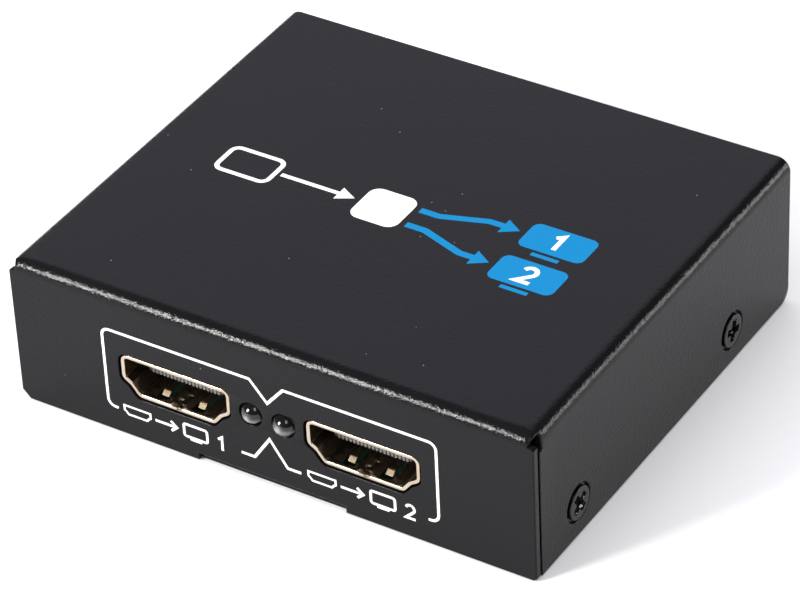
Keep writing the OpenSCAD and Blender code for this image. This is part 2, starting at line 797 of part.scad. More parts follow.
module socket_shell() {
    color(gilt) difference() {
        union() {
            along_y(0, rim_depth) polygon(mouth_outline(rim_w));
            along_y(0, shell_len) polygon(mouth_outline(shell_t));
            both_sides() for (y = [leg_front, leg_rear])
                translate([mouth_w / 2, y - leg_w / 2, leg_end]) cube([shell_t, leg_w, -leg_end]);
        }
        along_y(-past, shell_len + past) polygon(mouth_outline(0));
        translate([-seam_w / 2, -past, -mouth_h]) cube([seam_w, shell_len + 2 * past, mouth_h]);
        both_sides() {
            spring_window(lower_spring_spacing / 2, -mouth_h / 2 - shell_t / 2);
            spring_window(upper_spring_spacing / 2, mouth_h / 2 + shell_t / 2);
        }
    }
}

// The window that a spring finger is cut from, through a wall at height z
module spring_window(x, z) {
    length = spring_root + spring_t / 2 + spring_gap - window_front;
    translate([x - window_w / 2, window_front, z - shell_t]) cube([window_w, length, 2 * shell_t]);
}

module socket_insulator() {
    color(moulded_black) difference() {
        union() {
            translate([-blade_w / 2, blade_set, blade_rise - blade_t / 2])
                cube([blade_w, shell_len - blade_set, blade_t]);
            along_y(shell_len - block_len, heel_front) polygon(mouth_outline(-block_gap));
            translate([-heel_w / 2, heel_front, -board_drop])
                cube([heel_w, heel_len, board_drop + mouth_h / 2]);
        }
        contact_rows();
    }
}

module socket_contacts() {
    color(bright_metal) contact_rows();
}

module contact_rows() {
    out = blade_t / 2 + contact_proud - contact_t / 2;
    contact_row(contact_count, blade_rise + out, upper_pin_back);
    contact_row(contact_count - 1, blade_rise - out, lower_pin_back);
}

// Contacts along the blade, down behind the heel and out along the board
module contact_row(count, z, pin_back) {
    pin_y = heel_rear + pin_back;
    foot_z = -board_drop + contact_t / 2;
    line = [[blade_set, z], [pin_y, z], [pin_y, foot_z], [pin_y + pin_foot, foot_z]];
    for (i = [0 : count - 1]) translate([(i - (count - 1) / 2) * contact_pitch, 0, 0])
        along_x(contact_w) polygon(strip(line, contact_t));
}

// A pair of spring fingers on the floor, or on the roof where up is -1
module spring_pair(spacing, up) {
    color(gilt) for (x = [-spacing / 2, spacing / 2])
        translate([x, 0, -up * (mouth_h / 2 + shell_t / 2)]) along_x(spring_w) {
            polygon(strip([for (p = finger_line) [p[0], up * p[1]]], spring_t));
            translate(finger_line[0]) circle(spring_t / 2);
        }
}

// Lights, from the middle of the flange's back with -Y out of the case

function lead_x(k, side) = (k - 0.5) * led_spacing + side * lead_pitch;

module at_led(k) {
    translate([(k - 0.5) * led_spacing, led_foot_y[k], led_z]) children();
}

module led_lens(k) {
    r = led_d / 2;
    color(smoke_lens) at_led(k) rotate([90, 0, 0]) {
        cylinder(d = led_flange_d, h = led_flange_t);
        cylinder(r = r, h = led_len - r);
        translate([0, 0, led_len - r]) intersection() {
            sphere(r);
            translate([-r, -r, 0]) cube(2 * r);
        }
    }
}

module led_leads(k) {
    color(bright_metal) at_led(k) for (side = [-0.5, 0.5]) translate([side * lead_pitch, 0, 0])
        along_x(lead_t) polygon(strip([[0, 0], [lead_back, 0], [lead_back, lead_end]], lead_t));
}

// Power jack, from the middle of its barrel with +Y out of the case

module at_jack() {
    translate([jack_x, jack_y, jack_z]) children();
}

// A cylinder along Y
module rod(d, from, to) {
    translate([0, from, 0]) rotate([-90, 0, 0]) cylinder(d = d, h = to - from);
}

module power_jack_housing() {
    slot_w = tab_w + 2 * jack_spring_room;
    slot_low = -barrel_d / 2 - jack_slot_deep;
    slot_rear = jack_tab_y - tab_gap;
    slot_front = jack_spring_y + jack_spring_len + jack_spring_room;
    color(moulded_black) at_jack() difference() {
        union() {
            translate([-jack_w / 2, -jack_len, -jack_axis_h]) cube([jack_w, jack_len, jack_h]);
            rod(jack_collar_d, 0, jack_collar_len);
        }
        rod(barrel_d, -barrel_deep, jack_collar_len + past);
        rod(pin_root_d + 2 * pin_gap, -jack_len - past, -barrel_deep + past);
        translate([-slot_w / 2, slot_rear, slot_low]) cube([slot_w, slot_front - slot_rear, -slot_low]);
        translate([-tab_w / 2 - tab_gap, slot_rear, -jack_axis_h - past])
            cube([tab_w + 2 * tab_gap, tab_t + 2 * tab_gap, jack_axis_h]);
    }
}

module power_jack_pin() {
    tip = jack_collar_len - pin_set;
    color(bright_metal) at_jack() {
        rod(pin_d, -barrel_deep, tip - pin_d / 2);
        translate([0, tip - pin_d / 2, 0]) intersection() {
            sphere(pin_d / 2);
            translate([-pin_d, 0, -pin_d]) cube(2 * pin_d);
        }
        rod(pin_root_d, -jack_len - tab_t, -barrel_deep);
    }
}

// The spring leaf under the barrel, from its round root towards the panel
module power_jack_spring() {
    line = leaf_line(
        [jack_spring_y, jack_spring_z],
        [jack_spring_y + jack_spring_crest, -barrel_d / 2 + jack_spring_rise - tab_t / 2],
        [jack_spring_y + jack_spring_len, jack_spring_z],
        jack_spring_r
    );
    color(gilt) at_jack() along_x(tab_w) {
        polygon(strip(line, tab_t));
        translate(line[0]) circle(tab_t / 2);
    }
}

module power_jack_terminals() {
    spring_tab_top = jack_spring_z + tab_t / 2;
    color(bright_metal) at_jack() {
        translate([-tab_w / 2, jack_tab_y, jack_tab_end])
            cube([tab_w, tab_t, spring_tab_top - jack_tab_end]);
        difference() {
            union() {
                translate([-tab_w / 2, -jack_len - tab_t, jack_tab_end])
                    cube([tab_w, tab_t, -jack_tab_end]);
                rod(pin_root_d + 2 * pin_gap + 2 * tab_t, -jack_len - tab_t, -jack_len);
            }
            rod(pin_root_d + 2 * pin_gap, -jack_len - past, -jack_len + past);
        }
    }
}

// Parts on the board, from the board's top

module on_board(x, y) {
    translate([x, y, board_top_z]) children();
}

// A row of bent leads along X, on the -Y side of a body of that width and height
module lead_row(count, pitch, lead_w, width, body_h) {
    knee = chip_stand + body_h / 2;
    foot = chip_lead_t / 2;
    line = [
        [-width / 2, knee],
        [-width / 2 - chip_lead_len * lead_knee_share, knee],
        [-width / 2 - chip_lead_len * lead_foot_share, foot],
        [-width / 2 - chip_lead_len, foot]
    ];
    for (i = [0 : count - 1]) translate([(i - (count - 1) / 2) * pitch, 0, 0])
        along_x(lead_w) polygon(strip(line, chip_lead_t));
}

// A plain box of a body on the board
module flat_body(length, width, height) {
    translate([-length / 2, -width / 2, 0]) cube([length, width, height]);
}

module splitter_chip() {
    color(moulded_black) on_board(0, 0) translate([0, 0, chip_stand]) flat_body(chip_w, chip_w, chip_h);
}

module splitter_chip_leads() {
    color(bright_metal) on_board(0, 0) for (turn = [0 : 90 : 270]) rotate(turn)
        lead_row(chip_leads, chip_pitch, chip_lead_w, chip_w, chip_h);
}

module memory_chips() {
    color(moulded_black) for (y = memory_ys) on_board(-memory_x, y)
        translate([0, 0, chip_stand]) flat_body(memory_w, memory_len, chip_h);
}

module memory_chip_leads() {
    color(bright_metal) for (y = memory_ys) on_board(-memory_x, y) for (turn = [90, 270]) rotate(turn)
        lead_row(memory_leads, memory_pitch, memory_lead_w, memory_w, chip_h);
}

module voltage_regulator() {
    color(moulded_black) on_board(regulator_x, regulator_y)
        translate([0, 0, chip_stand]) flat_body(regulator_len, regulator_w, chip_h);
}

module voltage_regulator_leads() {
    color(bright_metal) on_board(regulator_x, regulator_y) {
        lead_row(regulator_leads, regulator_pitch, regulator_lead_w, regulator_w, chip_h);
        rotate(180) lead_row(1, regulator_pitch, regulator_tab_w, regulator_w, chip_h);
    }
}

module power_capacitors() {
    color(bright_metal) for (y = can_ys) on_board(can_x, y)
        translate([0, 0, can_base_t]) cylinder(d = can_d, h = can_h);
}

module power_capacitor_bases() {
    color(moulded_black) for (y = can_ys) on_board(can_x, y) flat_body(can_base_w, can_base_w, can_base_t);
}

module filter_coil() {
    color(coil_grey) on_board(regulator_x, coil_y) flat_body(coil_w, coil_w, coil_h);
}

module input_diode() {
    color(moulded_black) on_board(regulator_x, diode_y) flat_body(diode_len, diode_w, diode_h);
}

module clock_crystal() {
    color(bright_metal) on_board(crystal_x, crystal_y) {
        flat_body(crystal_len - crystal_w, crystal_w, crystal_h);
        for (s = [-1, 1]) translate([s * (crystal_len - crystal_w) / 2, 0, 0])
            cylinder(d = crystal_w, h = crystal_h);
    }
}

module chip_resistors() {
    color(resistor_black) for (k = [-0.5, 0.5], i = [0 : resistor_count - 1])
        on_board(k * out_spacing + (i - (resistor_count - 1) / 2) * resistor_pitch, resistor_y)
            flat_body(small_w, small_len, resistor_h);
}

module chip_capacitors() {
    color(ceramic_tan) for (s = [-1, 1], i = [0 : small_cap_count - 1])
        on_board(s * small_cap_x, (i - (small_cap_count - 1) / 2) * small_cap_pitch)
            flat_body(small_w, small_len, small_cap_h);
}

case_cover();
base_plate();
case_screws();
circuit_board();
board_standoffs();
board_screws();
at_socket(0) socket_shell();  // out_1_shell
at_socket(0) socket_insulator();  // out_1_insulator
at_socket(0) socket_contacts();  // out_1_contacts
at_socket(0) spring_pair(upper_spring_spacing, -1);  // out_1_upper_springs
at_socket(0) spring_pair(lower_spring_spacing, 1);  // out_1_lower_springs
at_socket(1) socket_shell();  // out_2_shell
at_socket(1) socket_insulator();  // out_2_insulator
at_socket(1) socket_contacts();  // out_2_contacts
at_socket(1) spring_pair(upper_spring_spacing, -1);  // out_2_upper_springs
at_socket(1) spring_pair(lower_spring_spacing, 1);  // out_2_lower_springs
at_socket(2) socket_shell();  // in_shell
at_socket(2) socket_insulator();  // in_insulator
at_socket(2) socket_contacts();  // in_contacts
at_socket(2) spring_pair(upper_spring_spacing, -1);  // in_upper_springs
at_socket(2) spring_pair(lower_spring_spacing, 1);  // in_lower_springs
power_jack_housing();
power_jack_pin();
power_jack_spring();
power_jack_terminals();
led_lens(0);  // led_1_lens
led_leads(0);  // led_1_leads
led_lens(1);  // led_2_lens
led_leads(1);  // led_2_leads
splitter_chip();
splitter_chip_leads();
memory_chips();
memory_chip_leads();
voltage_regulator();
voltage_regulator_leads();
power_capacitors();
power_capacitor_bases();
filter_coil();
input_diode();
clock_crystal();
chip_resistors();
chip_capacitors();
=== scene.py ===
"""Looks of a two-way video splitter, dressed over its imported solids.

Lengths in the classes are millimetres and angles degrees, and meshes are written in metres.
X runs along the front panel, Y from the front to the back and Z up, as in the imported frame.
"""

from __future__ import annotations

import json
import logging
import math
from collections.abc import Callable, Mapping, Sequence
from dataclasses import dataclass
from enum import Enum
from typing import Any, Union

import bpy
import numpy as np
from mathutils import Matrix, Vector
from mathutils.geometry import delaunay_2d_cdt

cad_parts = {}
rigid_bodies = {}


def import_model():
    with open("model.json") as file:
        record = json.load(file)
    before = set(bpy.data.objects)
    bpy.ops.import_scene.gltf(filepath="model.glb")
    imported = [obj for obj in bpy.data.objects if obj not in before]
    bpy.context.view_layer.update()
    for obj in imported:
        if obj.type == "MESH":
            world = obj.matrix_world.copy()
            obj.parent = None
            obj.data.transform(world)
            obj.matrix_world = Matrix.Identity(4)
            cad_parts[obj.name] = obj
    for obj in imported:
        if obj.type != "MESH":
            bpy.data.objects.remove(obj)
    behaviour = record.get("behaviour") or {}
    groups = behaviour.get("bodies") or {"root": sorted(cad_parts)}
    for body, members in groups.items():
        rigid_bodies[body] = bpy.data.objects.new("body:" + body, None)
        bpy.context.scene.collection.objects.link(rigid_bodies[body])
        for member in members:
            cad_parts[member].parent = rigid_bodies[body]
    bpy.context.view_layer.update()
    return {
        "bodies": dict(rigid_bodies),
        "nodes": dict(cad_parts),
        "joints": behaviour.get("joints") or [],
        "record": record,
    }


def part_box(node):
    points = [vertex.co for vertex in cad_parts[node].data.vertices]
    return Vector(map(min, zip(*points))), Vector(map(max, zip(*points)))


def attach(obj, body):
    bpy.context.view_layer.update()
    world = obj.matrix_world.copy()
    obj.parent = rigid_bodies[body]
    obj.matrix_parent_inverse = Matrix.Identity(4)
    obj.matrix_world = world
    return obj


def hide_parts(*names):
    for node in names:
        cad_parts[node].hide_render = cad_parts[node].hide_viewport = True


# A millimetre in metres, how near counts as the same place, and the steps of small roundings
MM = 0.001
NEAR = 1e-6
FILL_NEAR = 1e-5
EDGE_STEPS = 4
CORNER_STEPS = 6
NOISE_ROUGHNESS = 0.55
BODY = "splitter"
LOG = logging.getLogger("splitter")
Array = np.ndarray
Colour = tuple[float, float, float]
Place = Callable[[Array, Array], Array]


# Surfaces


@dataclass
class Surface:
    """Points and faces of a mesh, in millimetres.

    Attributes:
        points: One row of X, Y and Z for each point.
        faces: Arrays of point numbers, one row for each face, with three or four in a row.
    """

    points: Array
    faces: list[Array]

    def moved(self, turn: Array, shift: Sequence[float]) -> Surface:
        """Turns the points by a matrix of three rows and then shifts them."""
        return Surface(self.points @ turn.T + np.asarray(shift), self.faces)

    def mirrored(self, signs: Sequence[float]) -> Surface:
        """Flips one axis, whose sign is negative, and turns the faces so that they stay outward."""
        return Surface(self.points * np.asarray(signs), [face[:, ::-1] for face in self.faces])

    @staticmethod
    def joined(parts: Sequence[Surface]) -> Surface:
        """Puts several surfaces side by side in one.

        Args:
            parts: The surfaces.

        Returns:
            The one surface.
        """
        starts = np.cumsum([0] + [len(part.points) for part in parts])
        faces = [face + start for part, start in zip(parts, starts) for face in part.faces]
        return Surface(np.concatenate([part.points for part in parts]), faces)

    def as_object(
        self, name: str, crease: float = 35.0, marks: Mapping[str, Array] | None = None
    ) -> bpy.types.Object:
        """Writes the surface into a new mesh object at the origin.

        Args:
            name: Name of the object and of its mesh.
            crease: Edges that turn by more than this angle stay sharp.
            marks: Numbers at the points, by the name of the attribute that a finish reads.

        Returns:
            The new object, linked to the scene.
        """
        mesh = bpy.data.meshes.new(name)
        rows = [row for face in self.faces for row in face.tolist()]
        mesh.from_pydata((self.points * MM).tolist(), [], rows)
        mesh.polygons.foreach_set("use_smooth", np.ones(len(mesh.polygons), dtype=bool))
        mesh.set_sharp_from_angle(angle=math.radians(crease))
        for mark, numbers in (marks or {}).items():
            mesh.attributes.new(mark, "FLOAT", "POINT").data.foreach_set("value", numbers)
        obj = bpy.data.objects.new(name, mesh)
        bpy.context.scene.collection.objects.link(obj)
        return obj


def even_normals(obj: bpy.types.Object) -> None:
    """Lets wide faces set the shading at their edges, so that flats stay flat up to a rounded rim.

    Args:
        obj: The piece.
    """
    modifier = obj.modifiers.new("even_normals", "WEIGHTED_NORMAL")
    modifier.mode = "FACE_AREA"
    modifier.keep_sharp = True


def grid_quads(numbers: Array, wrap_rows: bool = False, wrap_columns: bool = False) -> Array:
    """Lists the quads of a grid of point numbers.

    Args:
        numbers: Point numbers by row and column.
        wrap_rows: Joins the last row to the first.
        wrap_columns: Joins the last column to the first.

    Returns:
        One row of four point numbers for each quad, which faces out where a step to the next row
        and then a step to the next column turn anticlockwise about the outward direction.
    """
    if wrap_rows:
        numbers = np.concatenate([numbers, numbers[:1]])
    if wrap_columns:
        numbers = np.concatenate([numbers, numbers[:, :1]], axis=1)
    corners = [numbers[:-1, :-1], numbers[1:, :-1], numbers[1:, 1:], numbers[:-1, 1:]]
    return np.stack([corner.ravel() for corner in corners], axis=1)


def round_angles(segments: int) -> Array:
    """Even steps of a full turn, in radians."""
    return np.linspace(0, 2 * math.pi, segments, endpoint=False)


def directions(angles: Array) -> Array:
    """Flat vectors of length one at angles in radians."""
    return np.stack([np.cos(angles), np.sin(angles)], axis=-1)


def turned_points(profile: Array, angles: Array) -> Array:
    """Turns the points of a profile about the Z axis.

    A point at radius r and height h goes to (r cos a, r sin a, h) for each angle a.

    Args:
        profile: Rows of radius and height.
        angles: The angles, in radians.

    Returns:
        Rows of X, Y and Z, by point of the profile and then by angle.
    """
    heights = np.broadcast_to(profile[:, None, 1:], (len(profile), len(angles), 1))
    rings = profile[:, None, :1] * directions(angles)
    return np.concatenate([rings, heights], axis=2).reshape(-1, 3)


def lathe(profile: Array, segments: int) -> Surface:
    """Makes the surface of a profile that turns about the Z axis.

    An end of the profile on the axis becomes one point with a fan of triangles.

    Args:
        profile: Rows of radius and height, from the back of the piece to its front.
        segments: Number of steps round the axis.

    Returns:
        The turned surface, facing out where the profile runs up its outside.
    """
    rings = profile[profile[:, 0] > 0]
    points = turned_points(rings, round_angles(segments))
    numbers = np.arange(len(points)).reshape(len(rings), segments)
    faces = [grid_quads(numbers, wrap_columns=True)[:, ::-1]]
    for end, ring_numbers in ((0, numbers[0]), (-1, numbers[-1])):
        if profile[end, 0] <= 0:
            pole = np.full(segments, len(points))
            points = np.concatenate([points, [[0, 0, profile[end, 1]]]])
            fan = np.stack([ring_numbers, np.roll(ring_numbers, -1), pole], axis=1)
            faces.append(fan[:, ::-1] if end == 0 else fan)
    return Surface(points, faces)


def block(low: Sequence[float], high: Sequence[float]) -> Surface:
    """A closed box between two corners.

    Args:
        low: The lowest corner.
        high: The highest corner.

    Returns:
        The box.
    """
    spans = np.array([low, high], dtype=float).T
    points = np.stack(np.meshgrid(*spans, indexing="ij"), axis=-1).reshape(-1, 3)
    faces = [[0, 1, 3, 2], [4, 6, 7, 5], [0, 4, 5, 1], [2, 3, 7, 6], [0, 2, 6, 4], [1, 5, 7, 3]]
    return Surface(points, [np.array(faces)])


# Flat outlines


def unit(vectors: Array) -> Array:
    """Vectors scaled to a length of one."""
    return vectors / np.linalg.norm(vectors, axis=-1, keepdims=True)


def cross(a: Array, b: Array) -> Array:
    """The turn from each flat vector of one array to that of the other."""
    return a[..., 0] * b[..., 1] - a[..., 1] * b[..., 0]


def corner_arcs(before: Array, corner: Array, after: Array, radii: Array, steps: int) -> Array:
    """Rounds corners with arcs that touch both edges.

    The centre lies on the line that halves the corner, at r over the sine of half its angle, and
    the arc runs from the foot of the centre on one edge to its foot on the other.

    Args:
        before: The point before each corner.
        corner: The corners.
        after: The point after each corner.
        radii: The radius at each corner.
        steps: Steps along each arc.

    Returns:
        The points of each arc, by corner and step.
    """
    back = unit(before - corner)
    ahead = unit(after - corner)
    half = np.arccos(np.clip((back * ahead).sum(axis=1), -1, 1)) / 2
    centre = corner + unit(back + ahead) * (radii / np.sin(half))[:, None]
    first = corner + back * (radii / np.tan(half))[:, None] - centre
    last = corner + ahead * (radii / np.tan(half))[:, None] - centre
    start = np.arctan2(first[:, 1], first[:, 0])
    sweep = np.arctan2(cross(first, last), (first * last).sum(axis=1))
    angles = start[:, None] + sweep[:, None] * np.linspace(0, 1, steps + 1)
    return centre[:, None] + radii[:, None, None] * directions(angles)


def rounded_loop(corners: Array, radii: Array) -> Array:
    """The arcs at the corners of a closed outline, by corner and step.

    Args:
        corners: The corners, in order.
        radii: The radius at each corner.

    Returns:
        The points of the arcs.
    """
    before = np.roll(corners, 1, axis=0)
    after = np.roll(corners, -1, axis=0)
    return corner_arcs(before, corners, after, radii, CORNER_STEPS)


def rounded_path(points: Array, radius: float, steps: int = CORNER_STEPS) -> Array:
    """An open line with an arc at each of its inner corners.

    Args:
        points: The line's points.
        radius: Radius of the arcs.
        steps: Steps along each arc.

    Returns:
        The points of the line.
    """
    inner = points[1:-1]
    arcs = corner_arcs(points[:-2], inner, points[2:], np.full(len(inner), radius), steps)
    return np.concatenate([points[:1], arcs.reshape(-1, 2), points[-1:]])


def circle(x: float, y: float, r: float, segments: int = 48) -> Array:
    """An anticlockwise circle."""
    return np.array([x, y]) + r * directions(round_angles(segments))


def box_loop(x: float, y: float, width: float, height: float, r: float) -> Array:
    """An anticlockwise rectangle with round corners about a middle.

    Args:
        x: The middle along the first axis.
        y: The middle along the second axis.
        width: Size along the first axis.
        height: Size along the second axis.
        r: Radius of the corners.

    Returns:
        The points of the loop.
    """
    signs = np.array([[-1, -1], [1, -1], [1, 1], [-1, 1]])
    corners = np.array([x, y]) + signs * np.array([width, height]) / 2
    return rounded_loop(corners, np.full(4, r)).reshape(-1, 2)


def clockwise(loop: Array) -> Array:
    """The loop in the order that a hole needs, with the sheet on its left."""
    area = cross(loop, np.roll(loop, -1, axis=0)).sum()
    return loop[::-1] if area > 0 else loop


def side_steps(points: Array, closed: bool) -> Array:
    """The step to the left of a line at each point, mitred so that its edges move by one.

    Args:
        points: The line's points.
        closed: Joins the end to the start.

    Returns:
        One step for each point.
    """
    ahead = unit(np.roll(points, -1, axis=0) - points)
    if not closed:
        ahead[-1] = ahead[-2]
    back = np.roll(ahead, 1, axis=0)
    if not closed:
        back[0] = ahead[0]
    left_back = np.stack([-back[:, 1], back[:, 0]], axis=1)
    left_ahead = np.stack([-ahead[:, 1], ahead[:, 0]], axis=1)
    lean = 1 + (left_back * left_ahead).sum(axis=1, keepdims=True)
    return (left_back + left_ahead) / lean


def ribbon(
    line: Array, width: float, low: float, high: float, closed: bool
) -> tuple[Array, Array, list[Array]]:
    """Carries a section, a box about the line, along a flat line with mitred corners.

    Args:
        line: The middle of the ribbon.
        width: Width of the box in the line's plane.
        low: Where the box starts across that plane.
        high: Where the box ends across that plane.
        closed: Joins the end to the start.

    Returns:
        The flat points, their places across the plane, and the faces, which look out where the
        plane's two axes and the one across it are right-handed in that order.
    """
    section = np.array([[1, low], [1, high], [-1, high], [-1, low]])
    flat = line[:, None] + side_steps(line, closed)[:, None] * width / 2 * section[:, :1]
    across = np.broadcast_to(section[:, 1], flat.shape[:2])
    numbers = np.arange(across.size).reshape(across.shape)
    faces = [grid_quads(numbers, wrap_rows=closed, wrap_columns=True)[:, ::-1]]
    if not closed:
        faces.append(np.stack([numbers[0, ::-1], numbers[-1]]))
    return flat.reshape(-1, 2), across.ravel(), faces


@dataclass(frozen=True)
class Fill:
    """A flat region cut into triangles.

    Attributes:
        points: The points of the triangles.
        triangles: Three point numbers in a row for each triangle, anticlockwise.
        homes: For each loop of the region, the numbers of its points.
    """

    points: Array
    triangles: Array
    homes: list[Array]


def fill(loops: Sequence[Array], rows: Sequence[Array]) -> Fill:
    """Cuts the region that loops enclose into triangles that keep to the loops and to rows of points.

    A triangle belongs to the region when a ray from its middle crosses the loops an odd number of
    times.

    Args:
        loops: The outer loop and the holes.
        rows: Lines of points inside the region that triangles don't cross.

    Returns:
        The filled region.
    """
    lines = list(loops) + list(rows)
    starts = np.cumsum([0] + [len(line) for line in lines])
    points = np.concatenate(lines)
    edges = []
    for k, line in enumerate(lines):
        numbers = starts[k] + np.arange(len(line))
        pairs = np.stack([numbers, np.roll(numbers, -1)], axis=1)
        edges += (pairs if k < len(loops) else pairs[:-1]).tolist()
    made = delaunay_2d_cdt([Vector(point) for point in points.tolist()], edges, [], 0, FILL_NEAR)
    flat = np.array([point[:] for point in made[0]])
    triangles = np.array(made[2])
    homes = np.zeros(len(points), dtype=int)
    homes[np.concatenate([np.array(old, dtype=int) for old in made[3]])] = np.repeat(
        np.arange(len(flat)), [len(old) for old in made[3]]
    )
    middles = flat[triangles].mean(axis=1)
    a = np.concatenate(loops)
    b = np.concatenate([np.roll(loop, -1, axis=0) for loop in loops])
    above = (a[None, :, 1] > middles[:, None, 1]) != (b[None, :, 1] > middles[:, None, 1])
    rise = np.where(a[:, 1] == b[:, 1], 1.0, b[:, 1] - a[:, 1])
    reach = a[:, 0] + (middles[:, None, 1] - a[:, 1]) / rise * (b[:, 0] - a[:, 0])
    inside = (above & (reach > middles[:, None, 0])).sum(axis=1) % 2 == 1
    triangles = triangles[inside]
    corner = flat[triangles]
    turned = cross(corner[:, 1] - corner[:, 0], corner[:, 2] - corner[:, 0]) < 0
    triangles[turned] = triangles[turned][:, ::-1]
    return Fill(flat, triangles, [homes[starts[k] : starts[k + 1]] for k in range(len(loops))])


@dataclass(frozen=True)
class Edge:
    """A closed edge of a sheet in its flat pattern.

    Attributes:
        loop: Points with the sheet on their left.
        profile: Rows of inset into the sheet and depth, from the outer face to the inner face.
    """

    loop: Array
    profile: Array


def rounded_profile(thick: float, r: float) -> Array:
    """The profile of an edge with a quarter arc of radius r at each face.

    Args:
        thick: Thickness of the sheet.
        r: Radius of the arcs.

    Returns:
        Rows of inset and depth.
    """
    angles = np.linspace(0, math.pi / 2, EDGE_STEPS + 1)
    outer = r * np.stack([1 - np.sin(angles), 1 - np.cos(angles)], axis=1)
    inner = outer[::-1] * [1, -1] + [0, thick]
    return np.concatenate([outer, inner])


def sheet(edges: Sequence[Edge], rows: Sequence[Array], place: Place) -> Surface:
    """Makes a closed sheet from its flat pattern.

    Both faces are filled inside the first and the last ring of each edge, and each edge's profile
    is carried along its loop between them.

    Args:
        edges: The outer edge and the edges of the holes.
        rows: Lines of points that the faces keep, such as those across a fold.
        place: Takes flat points and their depths under the outer face to points in space.

    Returns:
        The sheet.
    """
    rings = [edge.loop + side_steps(edge.loop, True) * edge.profile[:, :1, None] for edge in edges]
    outer = fill([ring[0] for ring in rings], rows)
    inner = fill([ring[-1] for ring in rings], rows)
    thick = edges[0].profile[-1, 1]
    flat = [outer.points, inner.points]
    depths = [np.zeros(len(outer.points)), np.full(len(inner.points), thick)]
    faces = [outer.triangles, inner.triangles[:, ::-1] + len(outer.points)]
    count = len(outer.points) + len(inner.points)
    for k, (edge, ring) in enumerate(zip(edges, rings)):
        between = ring[1:-1]
        numbers = count + np.arange(between.shape[0] * between.shape[1]).reshape(between.shape[:2])
        ends = (outer.homes[k][None], inner.homes[k][None] + len(outer.points))
        faces.append(grid_quads(np.concatenate([ends[0], numbers, ends[1]]), wrap_columns=True))
        flat.append(between.reshape(-1, 2))
        depths.append(np.repeat(edge.profile[1:-1, 1], between.shape[1]))
        count += numbers.size
    return Surface(place(np.concatenate(flat), np.concatenate(depths)), faces)


# Shader maths


Operand = Union["Value", float]


class Value:
    """A number or a vector that flows through a shader, with arithmetic that adds nodes."""

    def __init__(self, graph: Graph, socket: bpy.types.NodeSocket) -> None:
        """Wraps one output socket of a graph."""
        self.graph = graph
        self.socket = socket

    def __add__(self, other: Operand) -> Value:
        """The sum."""
        return self.graph.math("ADD", self, other)

    def __radd__(self, other: Operand) -> Value:
        """The sum, from the right."""
        return self.graph.math("ADD", other, self)

    def __sub__(self, other: Operand) -> Value:
        """The difference."""
        return self.graph.math("SUBTRACT", self, other)

    def __rsub__(self, other: Operand) -> Value:
        """The difference, from the right."""
        return self.graph.math("SUBTRACT", other, self)

    def __mul__(self, other: Operand) -> Value:
        """The product."""
        return self.graph.math("MULTIPLY", self, other)

    def __rmul__(self, other: Operand) -> Value:
        """The product, from the right."""
        return self.graph.math("MULTIPLY", other, self)

    def __gt__(self, other: Operand) -> Value:
        """One where this is greater, or zero."""
        return self.graph.math("GREATER_THAN", self, other)

    def __lt__(self, other: Operand) -> Value:
        """One where this is less, or zero."""
        return self.graph.math("LESS_THAN", self, other)

    def swing(self, amount: float) -> Value:
        """The distance of a number above a half, times an amount."""
        return amount * (self - 0.5)


